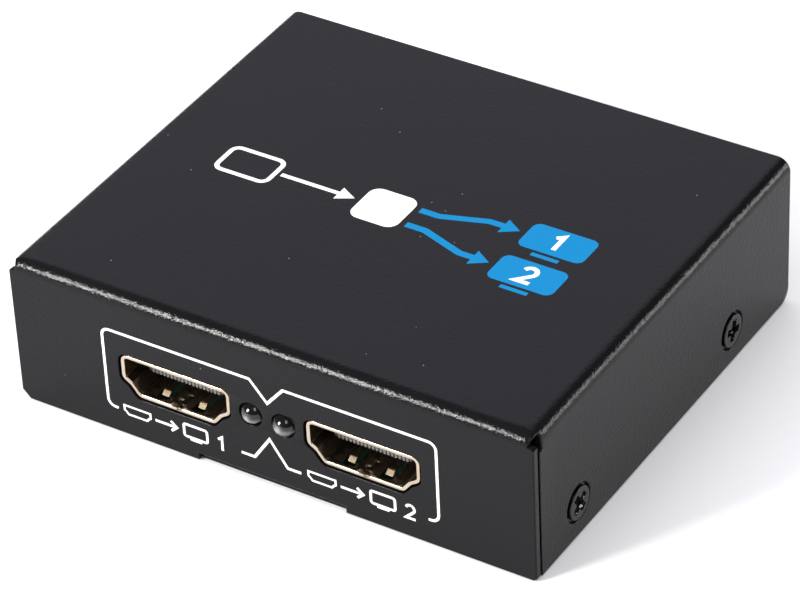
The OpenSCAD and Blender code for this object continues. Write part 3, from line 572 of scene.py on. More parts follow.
class Graph:
    """The nodes of one material."""

    def __init__(self, name: str) -> None:
        """Starts an empty material.

        Args:
            name: Name of the material.
        """
        self.material = bpy.data.materials.new(name)
        self.material.use_nodes = True
        self.material.node_tree.nodes.clear()

    def node(
        self,
        kind: str,
        settings: Mapping[str, Any] | None = None,
        inputs: Mapping[str | int, Any] | None = None,
    ) -> bpy.types.Node:
        """Adds a node.

        Args:
            kind: The node's type.
            settings: Its properties, which are set first.
            inputs: Values or links of its sockets, by name or number.

        Returns:
            The new node.
        """
        made = self.material.node_tree.nodes.new(kind)
        for key, setting in (settings or {}).items():
            setattr(made, key, setting)
        for key, given in (inputs or {}).items():
            if isinstance(given, Value):
                self.material.node_tree.links.new(given.socket, made.inputs[key])
            else:
                made.inputs[key].default_value = given
        return made

    def math(self, operation: str, *operands: Operand) -> Value:
        """Adds a Math node on numbers."""
        made = self.node("ShaderNodeMath", {"operation": operation}, dict(enumerate(operands)))
        return Value(self, made.outputs[0])

    def smooth(self, value: Value, low: float, high: float) -> Value:
        """A soft step from zero at low to one at high.

        Args:
            value: The number.
            low: Where the step starts.
            high: Where the step ends.

        Returns:
            The step.
        """
        made = self.node(
            "ShaderNodeMapRange",
            {"interpolation_type": "SMOOTHSTEP"},
            {"Value": value, "From Min": low, "From Max": high},
        )
        return Value(self, made.outputs["Result"])

    def place(self) -> Value:
        """Object coordinates in millimetres.

        Returns:
            The coordinates.
        """
        read = self.node("ShaderNodeTexCoord")
        scaled = self.node(
            "ShaderNodeVectorMath",
            {"operation": "SCALE"},
            {0: Value(self, read.outputs["Object"]), "Scale": 1 / MM},
        )
        return Value(self, scaled.outputs[0])

    def mark(self, name: str) -> Value:
        """The numbers that a piece's mesh holds under a name."""
        made = self.node("ShaderNodeAttribute", {"attribute_name": name})
        return Value(self, made.outputs["Fac"])

    def axes(self, place: Value) -> tuple[Value, Value, Value]:
        """The three numbers of a place."""
        made = self.node("ShaderNodeSeparateXYZ", None, {0: place})
        return tuple(Value(self, made.outputs[k]) for k in range(3))

    def noise(self, place: Value, size: float, detail: float = 2.0) -> Value:
        """Cloudy noise from zero to one, with lumps of about a size in millimetres.

        Args:
            place: Where the surface is.
            size: Size of the lumps.
            detail: Number of finer layers.

        Returns:
            The noise.
        """
        made = self.node(
            "ShaderNodeTexNoise",
            None,
            {"Vector": place, "Scale": 1 / size, "Detail": detail, "Roughness": NOISE_ROUGHNESS},
        )
        return Value(self, made.outputs[0])

    def specks(self, place: Value, spacing: float, radius: float, share: float) -> Value:
        """One inside scattered round specks, or zero.

        Args:
            place: Where the surface is.
            spacing: Size of the cells that hold a speck each.
            radius: Radius of a speck as a share of its cell.
            share: Share of the cells whose speck shows.

        Returns:
            The mask.
        """
        made = self.node("ShaderNodeTexVoronoi", None, {"Vector": place, "Scale": 1 / spacing})
        chance = self.node("ShaderNodeSeparateColor", None, {0: Value(self, made.outputs["Color"])})
        shown = Value(self, chance.outputs[0]) < share
        return (Value(self, made.outputs["Distance"]) < radius) * shown

    def blend(self, factor: Operand, first: Colour | Value, second: Colour | Value) -> Value:
        """Mixes two colours, which are the node's sockets 6 and 7, with the mix as its output 2.

        Args:
            factor: Share of the second colour.
            first: The first colour.
            second: The second colour.

        Returns:
            The mixed colour.
        """
        both = [c if isinstance(c, Value) else (*c, 1.0) for c in (first, second)]
        made = self.node(
            "ShaderNodeMix", {"data_type": "RGBA"}, {0: factor, 6: both[0], 7: both[1]}
        )
        return Value(self, made.outputs[2])

    def bump(self, height: Value, relief: float) -> Value:
        """A normal from heights of zero to one, whose relief is in millimetres."""
        made = self.node("ShaderNodeBump", None, {"Distance": relief * MM, "Height": height})
        return Value(self, made.outputs[0])

    def finish(self, inputs: Mapping[str, Any]) -> bpy.types.Material:
        """Closes the material with one surface shader and returns it.

        Args:
            inputs: Values and links by the name of the input.

        Returns:
            The material.
        """
        shader = self.node("ShaderNodeBsdfPrincipled", None, inputs)
        self.node("ShaderNodeOutputMaterial", None, {0: Value(self, shader.outputs[0])})
        return self.material


# Finishes


class Finish:
    """A look that a material is made from."""

    def inputs(self, graph: Graph, place: Value) -> dict[str, Any]:
        """The inputs of the surface shader, which each finish works out in its own way."""
        raise NotImplementedError

    def material(self, name: str) -> bpy.types.Material:
        """Makes the material of the finish."""
        graph = Graph(name)
        return graph.finish(self.inputs(graph, graph.place()))


@dataclass(frozen=True)
class PowderCoat(Finish):
    """Black powder coat with fine orange peel, rougher on marked bends, and a little dust."""

    colour: Colour = (0.0045, 0.0042, 0.0048)
    dust: Colour = (0.16, 0.16, 0.17)
    specks: tuple[float, float, float] = (2.2, 0.035, 0.16)
    roughness: float = 0.16
    cloud: float = 18.0
    cloud_tone: float = 0.15
    cloud_gloss: float = 0.12
    grain: float = 0.3
    grain_gloss: float = 0.1
    peel: float = 0.38
    fine_peel: float = 2.6
    fine_share: float = 0.3
    relief: float = 0.075
    flat_share: float = 0.6
    mark: str = "bend"
    sheen: float = 0.14

    def height(self, graph: Graph, place: Value) -> Value:
        """The orange peel: broad lumps with finer ones on them."""
        broad = (1 - self.fine_share) * graph.noise(place, self.peel, 1.0)
        return broad + self.fine_share * graph.noise(place, self.peel / self.fine_peel, 1.0)

    def inputs(self, graph: Graph, place: Value) -> dict[str, Any]:
        """A cloudy black with specks of dust, and the peel, weaker where no bend is marked.

        Args:
            graph: The nodes of the material.
            place: Where the surface is.

        Returns:
            Values and links by the name of the input.
        """
        cloud = graph.noise(place, self.cloud)
        shares = (1 - self.cloud_tone, 1 + self.cloud_tone)
        tones = [tuple(share * c for c in self.colour) for share in shares]
        dusty = graph.specks(place, *self.specks)
        share = self.flat_share + (1 - self.flat_share) * graph.mark(self.mark)
        gloss = cloud.swing(self.cloud_gloss) + graph.noise(place, self.grain).swing(self.grain_gloss)
        return {
            "Base Color": graph.blend(dusty, graph.blend(cloud, *tones), self.dust),
            "Roughness": self.roughness + gloss,
            "Specular IOR Level": self.sheen,
            "Normal": graph.bump(self.height(graph, place) * share, self.relief),
        }


@dataclass(frozen=True)
class Ink(Finish):
    """Printed ink that follows the coat under it, with slightly uneven cover."""

    colour: Colour
    coat: PowderCoat
    roughness: float = 0.5
    cloud: float = 1.5
    cloud_gloss: float = 0.1
    grain: float = 0.35
    thin: float = 0.06
    relief_share: float = 0.4
    sheen: float = 0.12

    def inputs(self, graph: Graph, place: Value) -> dict[str, Any]:
        """The ink's colour, through which the coat shows a little, and the coat's softened peel.

        Args:
            graph: The nodes of the material.
            place: Where the surface is.

        Returns:
            Values and links by the name of the input.
        """
        thin = graph.noise(place, self.grain) * self.thin
        relief = self.coat.relief * self.relief_share
        return {
            "Base Color": graph.blend(thin, self.colour, self.coat.colour),
            "Roughness": self.roughness + graph.noise(place, self.cloud).swing(self.cloud_gloss),
            "Specular IOR Level": self.sheen,
            "Normal": graph.bump(self.coat.height(graph, place), relief),
        }


@dataclass(frozen=True)
class Metal(Finish):
    """Bare or plated metal with a faint grain."""

    colour: Colour
    tarnish: Colour
    roughness: float
    cloud: float = 2.4
    stain: tuple[float, float] = (0.45, 0.75)
    cloud_gloss: float = 0.14
    grain: float = 0.25
    grain_gloss: float = 0.08
    relief: float = 0.002

    def inputs(self, graph: Graph, place: Value) -> dict[str, Any]:
        """The metal's colour with clouds of tarnish, over the grain.

        Args:
            graph: The nodes of the material.
            place: Where the surface is.

        Returns:
            Values and links by the name of the input.
        """
        cloud = graph.noise(place, self.cloud)
        grain = graph.noise(place, self.grain)
        gloss = cloud.swing(self.cloud_gloss) + grain.swing(self.grain_gloss)
        return {
            "Base Color": graph.blend(graph.smooth(cloud, *self.stain), self.colour, self.tarnish),
            "Metallic": 1.0,
            "Roughness": self.roughness + gloss,
            "Normal": graph.bump(grain, self.relief),
        }


@dataclass(frozen=True)
class BlackedSteel(Finish):
    """Blacked steel, with painted shade in a recess that the mesh marks, far darker than the steel, and
    spots there rubbed bare.
    """

    colour: Colour = (0.040, 0.040, 0.042)
    # Painted shade: the colour of the cross recess, far darker than the steel
    recess: Colour = (0.004, 0.004, 0.004)
    bare: Colour = (0.40, 0.39, 0.38)
    spot: float = 0.5
    rubbed: tuple[float, float] = (0.63, 0.68)
    roughness: float = 0.32
    grain: float = 0.25
    grain_gloss: float = 0.1
    relief: float = 0.002
    mark: str = "recess"

    def inputs(self, graph: Graph, place: Value) -> dict[str, Any]:
        """The steel's colour outside the mark, and inside it the recess's painted shade with its bare
        spots.

        Args:
            graph: The nodes of the material.
            place: Where the surface is.

        Returns:
            Values and links by the name of the input.
        """
        rubbed = graph.smooth(graph.noise(place, self.spot), *self.rubbed)
        recess = graph.blend(rubbed, self.recess, self.bare)
        grain = graph.noise(place, self.grain)
        return {
            "Base Color": graph.blend(graph.mark(self.mark), self.colour, recess),
            "Metallic": 1.0,
            "Roughness": self.roughness + grain.swing(self.grain_gloss),
            "Normal": graph.bump(grain, self.relief),
        }


@dataclass(frozen=True)
class Moulding(Finish):
    """Moulded plastic, ceramic or ferrite with a fine even texture."""

    colour: Colour
    fleck: Colour
    roughness: float
    flecks: tuple[float, float] = (0.4, 0.9)
    cloud: float = 1.6
    cloud_gloss: float = 0.16
    grain: float = 0.18
    relief: float = 0.004

    def inputs(self, graph: Graph, place: Value) -> dict[str, Any]:
        """The moulding's colour with flecks on the high points of its texture.

        Args:
            graph: The nodes of the material.
            place: Where the surface is.

        Returns:
            Values and links by the name of the input.
        """
        grain = graph.noise(place, self.grain)
        return {
            "Base Color": graph.blend(graph.smooth(grain, *self.flecks), self.colour, self.fleck),
            "Roughness": self.roughness + graph.noise(place, self.cloud).swing(self.cloud_gloss),
            "Normal": graph.bump(grain, self.relief),
        }


@dataclass(frozen=True)
class Resin(Finish):
    """Smoky resin of a light, with a painted glow: a milky colour where the mesh is marked, which stands in
    for light that the dome gathers.
    """

    smoke: Colour = (0.004, 0.004, 0.004)
    # Colour of the painted glow, which stands in for light gathered in the dome
    painted_glow_colour: Colour = (0.21, 0.21, 0.205)
    lump: float = 0.4
    painted_glow: tuple[float, float] = (0.6, 0.8)
    grain: float = 0.3
    gloss: tuple[float, float] = (0.09, 0.03)
    bending: float = 1.5
    # The mark that holds the painted glow
    mark: str = "cloud"

    def inputs(self, graph: Graph, place: Value) -> dict[str, Any]:
        """The smoke, and the painted glow's milky colour by the mark and a lumpy noise.

        Args:
            graph: The nodes of the material.
            place: Where the surface is.

        Returns:
            Values and links by the name of the input.
        """
        painted_glow = graph.mark(self.mark) * (self.painted_glow[0] + self.painted_glow[1] * graph.noise(place, self.lump))
        return {
            "Base Color": graph.blend(painted_glow, self.smoke, self.painted_glow_colour),
            "Roughness": self.gloss[0] + self.gloss[1] * graph.noise(place, self.grain),
            "IOR": self.bending,
        }


@dataclass(frozen=True)
class SolderMask(Finish):
    """Green circuit board with tracks under the mask and a woven surface."""

    colour: Colour = (0.003, 0.016, 0.011)
    track: Colour = (0.005, 0.026, 0.017)
    pitch: float = 1.3
    track_edge: float = 0.34
    region: float = 9.0
    weave: float = 0.25
    weave_share: float = 0.15
    gloss: tuple[float, float] = (0.3, 0.12)
    relief: float = 0.02

    def inputs(self, graph: Graph, place: Value) -> dict[str, Any]:
        """Tracks that run along X in some regions and along Y in the others, over the weave.

        Args:
            graph: The nodes of the material.
            place: Where the surface is.

        Returns:
            Values and links by the name of the input.
        """
        region = graph.noise(place, self.region, 0.0) > 0.5
        along_x, along_y = (
            graph.math("PINGPONG", axis, self.pitch / 2) > self.pitch * self.track_edge
            for axis in graph.axes(place)[:2]
        )
        track = region * along_x + (1 - region) * along_y
        weave = graph.noise(place, self.weave)
        return {
            "Base Color": graph.blend(track, self.colour, self.track),
            "Roughness": self.gloss[0] + self.gloss[1] * weave,
            "Normal": graph.bump(track + self.weave_share * weave, self.relief),
        }


@dataclass(frozen=True)
class FloorPaper(Finish):
    """Pale studio paper with a faint tooth."""

    colour: Colour = (0.66, 0.66, 0.68)
    shade: Colour = (0.7, 0.7, 0.7)
    cloud: float = 60.0
    cloud_tone: float = 0.02
    tooth: float = 0.8
    gloss: tuple[float, float] = (0.9, 0.05)
    relief: float = 0.01

    def inputs(self, graph: Graph, place: Value) -> dict[str, Any]:
        """The paper's colour with very faint clouds, over the tooth.

        Args:
            graph: The nodes of the material.
            place: Where the surface is.

        Returns:
            Values and links by the name of the input.
        """
        tooth = graph.noise(place, self.tooth)
        cloud = self.cloud_tone * graph.noise(place, self.cloud)
        return {
            "Base Color": graph.blend(cloud, self.colour, self.shade),
            "Roughness": self.gloss[0] + self.gloss[1] * tooth,
            "Normal": graph.bump(tooth, self.relief),
        }


class Slot(Enum):
    """The record's material slots."""

    BLACK_COAT = "black_coat"
    SCREW_BLACK = "screw_black"
    GILT_SHELL = "gilt_shell"
    GILT_SPRING = "gilt_spring"
    BRIGHT_METAL = "bright_metal"
    CAN_METAL = "can_metal"
    MOULDED_BLACK = "moulded_black"
    BOARD_GREEN = "board_green"
    SMOKE_LENS = "smoke_lens"
    FERRITE_GREY = "ferrite_grey"
    RESISTOR_BLACK = "resistor_black"
    CERAMIC_TAN = "ceramic_tan"


COAT = PowderCoat()
STEEL = BlackedSteel()
RESIN = Resin()
FINISHES: dict[Slot, Finish] = {
    Slot.BLACK_COAT: COAT,
    Slot.SCREW_BLACK: STEEL,
    Slot.GILT_SHELL: Metal((0.58, 0.48, 0.37), (0.50, 0.40, 0.30), 0.22),
    Slot.GILT_SPRING: Metal((0.46, 0.355, 0.245), (0.39, 0.29, 0.195), 0.27),
    Slot.BRIGHT_METAL: Metal((0.66, 0.65, 0.64), (0.52, 0.51, 0.49), 0.30),
    Slot.CAN_METAL: Metal((0.72, 0.72, 0.74), (0.62, 0.62, 0.63), 0.28),
    Slot.MOULDED_BLACK: Moulding((0.012, 0.012, 0.013), (0.022, 0.022, 0.024), 0.5),
    Slot.BOARD_GREEN: SolderMask(),
    Slot.SMOKE_LENS: RESIN,
    Slot.FERRITE_GREY: Moulding((0.045, 0.045, 0.048), (0.075, 0.075, 0.08), 0.65),
    Slot.RESISTOR_BLACK: Moulding((0.010, 0.010, 0.013), (0.020, 0.020, 0.026), 0.35),
    Slot.CERAMIC_TAN: Moulding((0.44, 0.30, 0.16), (0.54, 0.40, 0.24), 0.42),
}


class Dresser:
    """Keeps the made materials, and puts finished pieces on their body."""

    def __init__(self) -> None:
        """Makes one material for each slot of the record, the two inks and a darker tin, whose darkness is
        painted shade.
        """
        self.materials = {slot: finish.material(slot.value) for slot, finish in FINISHES.items()}
        self.white = Ink((0.64, 0.64, 0.64), COAT).material("white_ink")
        self.blue = Ink((0.0, 0.138, 0.32), COAT).material("blue_ink")
        # Painted shade: a darker copy of the bright metal, for contact ends deep in a socket's mouth
        self.dull_tin = Metal((0.23, 0.22, 0.22), (0.15, 0.15, 0.15), 0.42).material("dull_tin")

    def solids(
        self, subparts: Sequence[Mapping[str, str]], nodes: Mapping[str, bpy.types.Object]
    ) -> None:
        """Gives every solid of the frame the finish of its slot.

        Args:
            subparts: The record's list of nodes and their slots.
            nodes: The solids' objects by name.
        """
        for part in subparts:
            mesh = nodes[part["node"]].data
            mesh.materials.clear()
            mesh.materials.append(self.materials[Slot(part["material_slot"])])

    def piece(
        self,
        obj: bpy.types.Object,
        slot: Slot,
        replaces: Sequence[str] = (),
        material: bpy.types.Material | None = None,
        body: str = BODY,
    ) -> None:
        """Puts a new piece on its body.

        Args:
            obj: The piece.
            slot: The record's slot that it takes its finish from.
            replaces: Solids that it stands for.
            material: Its material, where that isn't the slot's own.
            body: The body that it moves with.
        """
        obj.data.materials.append(material or self.materials[slot])
        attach(obj, body)
        if replaces:
            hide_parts(*replaces)
        LOG.info("%s: %d faces", obj.name, len(obj.data.polygons))

    def printed(self, name: str, parts: Sequence[Surface], ink: bpy.types.Material) -> None:
        """Puts a print in one ink on the case."""
        self.piece(Surface.joined(parts).as_object(name), Slot.BLACK_COAT, material=ink)


def node_box(node: str) -> tuple[Array, Array]:
    """The lowest and the highest corner of a solid, in millimetres."""
    low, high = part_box(node)
    return np.array(low) / MM, np.array(high) / MM


# Folded sheets


@dataclass
class FoldedSheet:
    """A sheet folded down at its two sides and its front, known by its flat pattern.

    The flat pattern's u runs across and v along the sheet, both measured on the outer face. A point
    past the start of a fold turns about the fold's axis by its distance over the fold's radius, up
    to a quarter turn, and what is left of the distance runs down the side or the front. Towards
    the front a side's fold fades out before the sheet's corner, which so droops both ways.

    Attributes:
        half: Half of the width over the two sides.
        front: Y of the outer face of the front.
        high: Z of the outer face between the folds.
        side_start: Where the sides start along v.
        fade: Length along v in front of the sides over which their fold fades out.
        fold_r: Outside radius of the folds.
        thick: Thickness of the sheet.
        edge_r: Radius of the rounded edges of the coated sheet.
        steps: Steps across a fold.
        side_points: Points in a row along a side's fold.
        front_points: Points in a row along the front's fold.
    """

    half: float
    front: float
    high: float
    side_start: float
    fold_r: float
    fade: float = 1.5
    thick: float = 1.0
    edge_r: float = 0.2
    steps: int = 8
    side_points: int = 14
    front_points: int = 16

    def __post_init__(self) -> None:
        """Works out where the folds start and how long they are."""
        self.flat_half = self.half - self.fold_r
        self.flat_front = self.front + self.fold_r
        self.quarter = self.fold_r * math.pi / 2
        self.turns = np.linspace(0, self.quarter, self.steps + 1)

    def side_u(self, z: float) -> float:
        """The flat place across of a height on a side."""
        return self.flat_half + self.quarter + self.high - self.fold_r - z

    def front_v(self, z: Any) -> Any:
        """The flat place along of a height on the front."""
        return self.flat_front - self.quarter - self.high + self.fold_r + z

    def fold(self, flat: Array, depth: Array) -> Array:
        """Takes points of the flat pattern to the folded sheet.

        Args:
            flat: Rows of u and v.
            depth: Depths under the outer face.

        Returns:
            Rows of X, Y and Z.
        """
        across = np.abs(flat[:, 0])
        v = flat[:, 1]
        r = self.fold_r - depth
        near = np.clip((v - self.side_start) / self.fade + 1, 0, 1)
        past_side = np.maximum(across - self.flat_half, 0) * near * near * (3 - 2 * near)
        past_front = np.maximum(self.flat_front - v, 0)
        side_turn = np.minimum(past_side / self.fold_r, math.pi / 2)
        front_turn = np.minimum(past_front / self.fold_r, math.pi / 2)
        x = np.sign(flat[:, 0]) * (across - past_side + r * np.sin(side_turn))
        y = v + past_front - r * np.sin(front_turn)
        drop = r * (2 - np.cos(side_turn) - np.cos(front_turn))
        rest = np.maximum(past_side - self.quarter, 0) + np.maximum(past_front - self.quarter, 0)
        return np.stack([x, y, self.high - depth - drop - rest], axis=1)

    def fold_rows(self, v_low: float, v_high: float, u_reach: float) -> list[Array]:
        """Rows of flat points along the folds.

        Args:
            v_low: Where the rows on the sides start.
            v_high: Where the rows on the sides end.
            u_reach: How far the rows on the front reach to both sides.

        Returns:
            One line of points for each step of each fold.
        """
        v = np.linspace(v_low, v_high, self.side_points)
        u = np.linspace(-u_reach, u_reach, self.front_points)
        rows = [
            np.stack([np.full(len(v), sign * (self.flat_half + turn)), v], axis=1)
            for sign in (-1, 1)
            for turn in self.turns
        ]
        rows += [np.stack([u, np.full(len(u), self.flat_front - turn)], axis=1) for turn in self.turns]
        return rows

    def bends(self, points: Array) -> Array:
        """How far each point lies inside a fold: the sine of twice its turn on the outer face.

        Args:
            points: Points of the folded sheet.

        Returns:
            One number from zero to one for each point.
        """
        rise = np.clip((points[:, 2] - self.high) / self.fold_r + 1, 0, 1)
        ahead = np.clip((self.flat_front - points[:, 1]) / self.fold_r, 0, 1)
        out = np.clip((np.abs(points[:, 0]) - self.flat_half) / self.fold_r, 0, 1)
        return np.minimum(2 * rise * np.maximum(ahead, out), 1)

    def edge(self, loop: Array, r: float = 0.0) -> Edge:
        """An edge that is rounded at both faces, by the sheet's own radius if none is given."""
        return Edge(loop, rounded_profile(self.thick, r or self.edge_r))

    def on_front(self, outline: Array) -> Array:
        """A hole in the front from its outline in X and Z."""
        return clockwise(np.stack([outline[:, 0], self.front_v(outline[:, 1])], axis=1))


@dataclass(frozen=True)
class Mouth:
    """The mouth of a video socket, wide side up, about its middle."""

    width: float = 14.0
    height: float = 4.55
    floor: float = 10.0
    shoulder: float = 12.0
    side: float = 2.64
    shoulder_drop: float = 3.28
    r: float = 0.5
    shoulder_r: float = 0.9

    def corners(self) -> Array:
        """The corners of the outline, anticlockwise from the right of the floor.

        Returns:
            Rows of X and Z.
        """
        top = self.height / 2
        right = np.array([
            [self.floor / 2, -top],
            [self.shoulder / 2, top - self.shoulder_drop],
            [self.width / 2, top - self.side],
            [self.width / 2, top],
        ])
        return np.concatenate([right, right[::-1] * [-1, 1]])

    def outline(self, grow: float) -> Array:
        """The rounded outline, moved out by a wall or a gap, as arcs by corner and step.

        Args:
            grow: How far the outline moves out.

        Returns:
            The points of the arcs.
        """
        corners = self.corners()
        corners = corners - side_steps(corners, True) * grow
        half = np.array([self.r + grow, self.shoulder_r - grow, self.r + grow, self.r + grow])
        radii = np.concatenate([half, half[::-1]])
        return rounded_loop(corners, radii)


# Sizes that several pieces share: the solids' rim round a socket, the gap round that rim, half of the
# width of the base's tongue, and the radius of a light
MOUTH = Mouth()
RIM = 0.52
RIM_GAP = 0.2
TONGUE_HALF = 9.9
LIGHT_R = 1.5


def socket_middle(node: str) -> tuple[float, float]:
    """X and Z of the middle of a socket's mouth, from its shell's box."""
    low, high = node_box(node)
    return (low[0] + high[0]) / 2, high[2] - RIM - MOUTH.height / 2


def socket_hole(node: str) -> Array:
    """The outline in X and Z of the hole that a socket's rim stands in."""
    return MOUTH.outline(RIM + RIM_GAP).reshape(-1, 2) + np.array(socket_middle(node))


def socket_pose(name: str, at_back: bool) -> tuple[Array, Array]:
    """How a socket lies.

    Args:
        name: Name of the socket.
        at_back: The socket faces the back instead of the front.

    Returns:
        The turn from a socket that faces the front, and the middle of the mouth at the rim's face.
    """
    low, high = node_box(f"{name}_shell")
    x, z = socket_middle(f"{name}_shell")
    side = -1.0 if at_back else 1.0
    return np.diag([side, side, 1.0]), np.array([x, high[1] if at_back else low[1], z])


def middle_of(node: str) -> Array:
    """The middle of a solid's box."""
    return np.mean(node_box(node), axis=0)


def facing_side(sign: int) -> Array:
    """The turn about Y that takes Z to the right side, or to the left where the sign is negative."""
    return np.array([[0, 0, sign], [0, 1, 0], [-sign, 0, 0]], dtype=float)


@dataclass
class ScrewPlaces:
    """Where the case screws are, from the box of their solids."""

    head_r: float = 2.1

    def __post_init__(self) -> None:
        """Reads the faces of the sides, and the two places along them."""
        low, high = node_box("case_screws")
        self.side = high[0]
        self.z = (low[2] + high[2]) / 2
        self.ys = (low[1] + self.head_r, high[1] - self.head_r)


@dataclass
class CaseCover:
    """The top, the sides and the front panel, folded from one sheet."""

    fold_r: float = 1.7
    seam: float = 0.3
    fold_stop: float = 0.8
    relief: tuple[float, float, float] = (0.3, 0.35, 0.6)
    relief_drop: float = 1.0
    relief_r: float = 0.4
    join: float = 0.05
    clips: tuple[float, float] = (0.4, 1.1)
    upper_clip: float = 0.3
    brow_rise: float = 0.25
    rear_r: float = 1.8
    notch_gap: float = 0.1
    well_r: float = 2.5
    well_deep: float = 0.4
    head_r: float = 2.12
    shank_r: float = 1.35
    well_land: float = 0.05
    well_steps: int = 64
    light_gap: float = 0.08
    hole_edge_r: float = 0.07
    row_start: float = 1.1
    row_past: float = 0.4

    def __post_init__(self) -> None:
        """Takes the outside of the cover from its solid."""
        self.low, self.high = node_box("case_cover")
        side_start = self.low[1] + FoldedSheet.thick + self.seam
        self.sheet = FoldedSheet(self.high[0], self.low[1], self.high[2], side_start, self.fold_r)

    def corner(self) -> Array:
        """The cut at the right front corner, from the front fold round to the side's front edge.

        Returns:
            Rows of u and v.
        """
        sheet_ = self.sheet
        inset, ahead, bite = self.relief
        start = sheet_.side_start
        fold_end = self.high[0] - self.fold_stop
        lip = self.high[0] - inset
        below = sheet_.flat_half + sheet_.quarter + self.relief_drop
        return rounded_path(np.array([
            [fold_end, start - sheet_.fade], [lip, start - ahead], [lip, start + bite],
            [below, start + bite], [below, start],
        ]), self.relief_r)

    def half_outline(self, clip: float) -> Array:
        """The right half of the flat outline, from the notch round to the flat part of the rear edge.

        Args:
            clip: Size of the cut at the front's lower corner.

        Returns:
            Rows of u and v.
        """
        sheet_ = self.sheet
        half, rear = self.high[0], self.high[1]
        base_low, _ = node_box("base_plate")
        notch_half = TONGUE_HALF + self.notch_gap
        notch_top = sheet_.front_v(base_low[2] + sheet_.thick + self.notch_gap)
        foot = sheet_.front_v(self.low[2])
        brow = sheet_.flat_front - sheet_.quarter + self.brow_rise
        fold_end = half - self.fold_stop
        corner_cut = self.corner()
        across = sheet_.flat_front - sheet_.turns[::-1]
        across = across[(across > brow) & (across < corner_cut[0, 1] - self.join)]
        side_foot = sheet_.side_u(self.low[2])
        corner = np.array([[side_foot, sheet_.side_start], [side_foot, rear], [sheet_.flat_half, rear]])
        rear_corner = rounded_path(corner, self.rear_r)[1:-1]
        rear_us = sheet_.flat_half + sheet_.turns[::-1]
        return np.concatenate([
            [[notch_half, notch_top], [notch_half, foot], [half - clip, foot], [half, foot + clip]],
            [[half, brow - self.upper_clip], [half - self.upper_clip, brow], [fold_end, brow]],
            np.stack([np.full(len(across), fold_end), across], axis=1),
            corner_cut,
            [[side_foot, sheet_.side_start]],
            rear_corner,
            np.stack([rear_us, np.full(len(rear_us), rear)], axis=1),
        ])

    def holes(self, screws: ScrewPlaces) -> list[Edge]:
        """The edges of the holes for sockets, lights and screws.

        Args:
            screws: Where the case screws are.

        Returns:
            One edge for each hole.
        """
        sheet_ = self.sheet
        outlines = [socket_hole(f"out_{k}_shell") for k in (1, 2)]
        for k in (1, 2):
            x, _, z = middle_of(f"led_{k}_lens")
            outlines.append(circle(x, z, LIGHT_R + self.light_gap))
        holes = [sheet_.edge(sheet_.on_front(outline), self.hole_edge_r) for outline in outlines]
        step = self.well_r - self.head_r
        taper = self.well_r - self.shank_r
        lip = rounded_profile(sheet_.thick, sheet_.edge_r)[: EDGE_STEPS + 1]
        well = np.concatenate([
            lip,
            [[0, self.well_deep], [-step, self.well_deep]],
            [[-taper, sheet_.thick - self.well_land], [-taper, sheet_.thick]],
        ])
        for sign in (-1, 1):
            for y in screws.ys:
                loop = circle(sign * sheet_.side_u(screws.z), y, self.well_r, self.well_steps)
                holes.append(Edge(clockwise(loop), well))
        return holes

    def build(self, dresser: Dresser, screws: ScrewPlaces) -> None:
        """Folds the cover and dresses it.

        Args:
            dresser: Dresses the pieces.
            screws: Where the case screws are.
        """
        right = self.half_outline(self.clips[0])
        left = self.half_outline(self.clips[1])[::-1] * [-1, 1]
        edges = [self.sheet.edge(np.concatenate([right, left]))] + self.holes(screws)
        rows = self.sheet.fold_rows(
            self.sheet.side_start + self.row_start,
            self.high[1] - self.sheet.edge_r,
            self.sheet.flat_half + self.row_past,
        )
        made = sheet(edges, rows, self.sheet.fold)
        obj = made.as_object("case_cover_folded", marks={COAT.mark: self.sheet.bends(made.points)})
        even_normals(obj)
        dresser.piece(obj, Slot.BLACK_COAT, ["case_cover"])


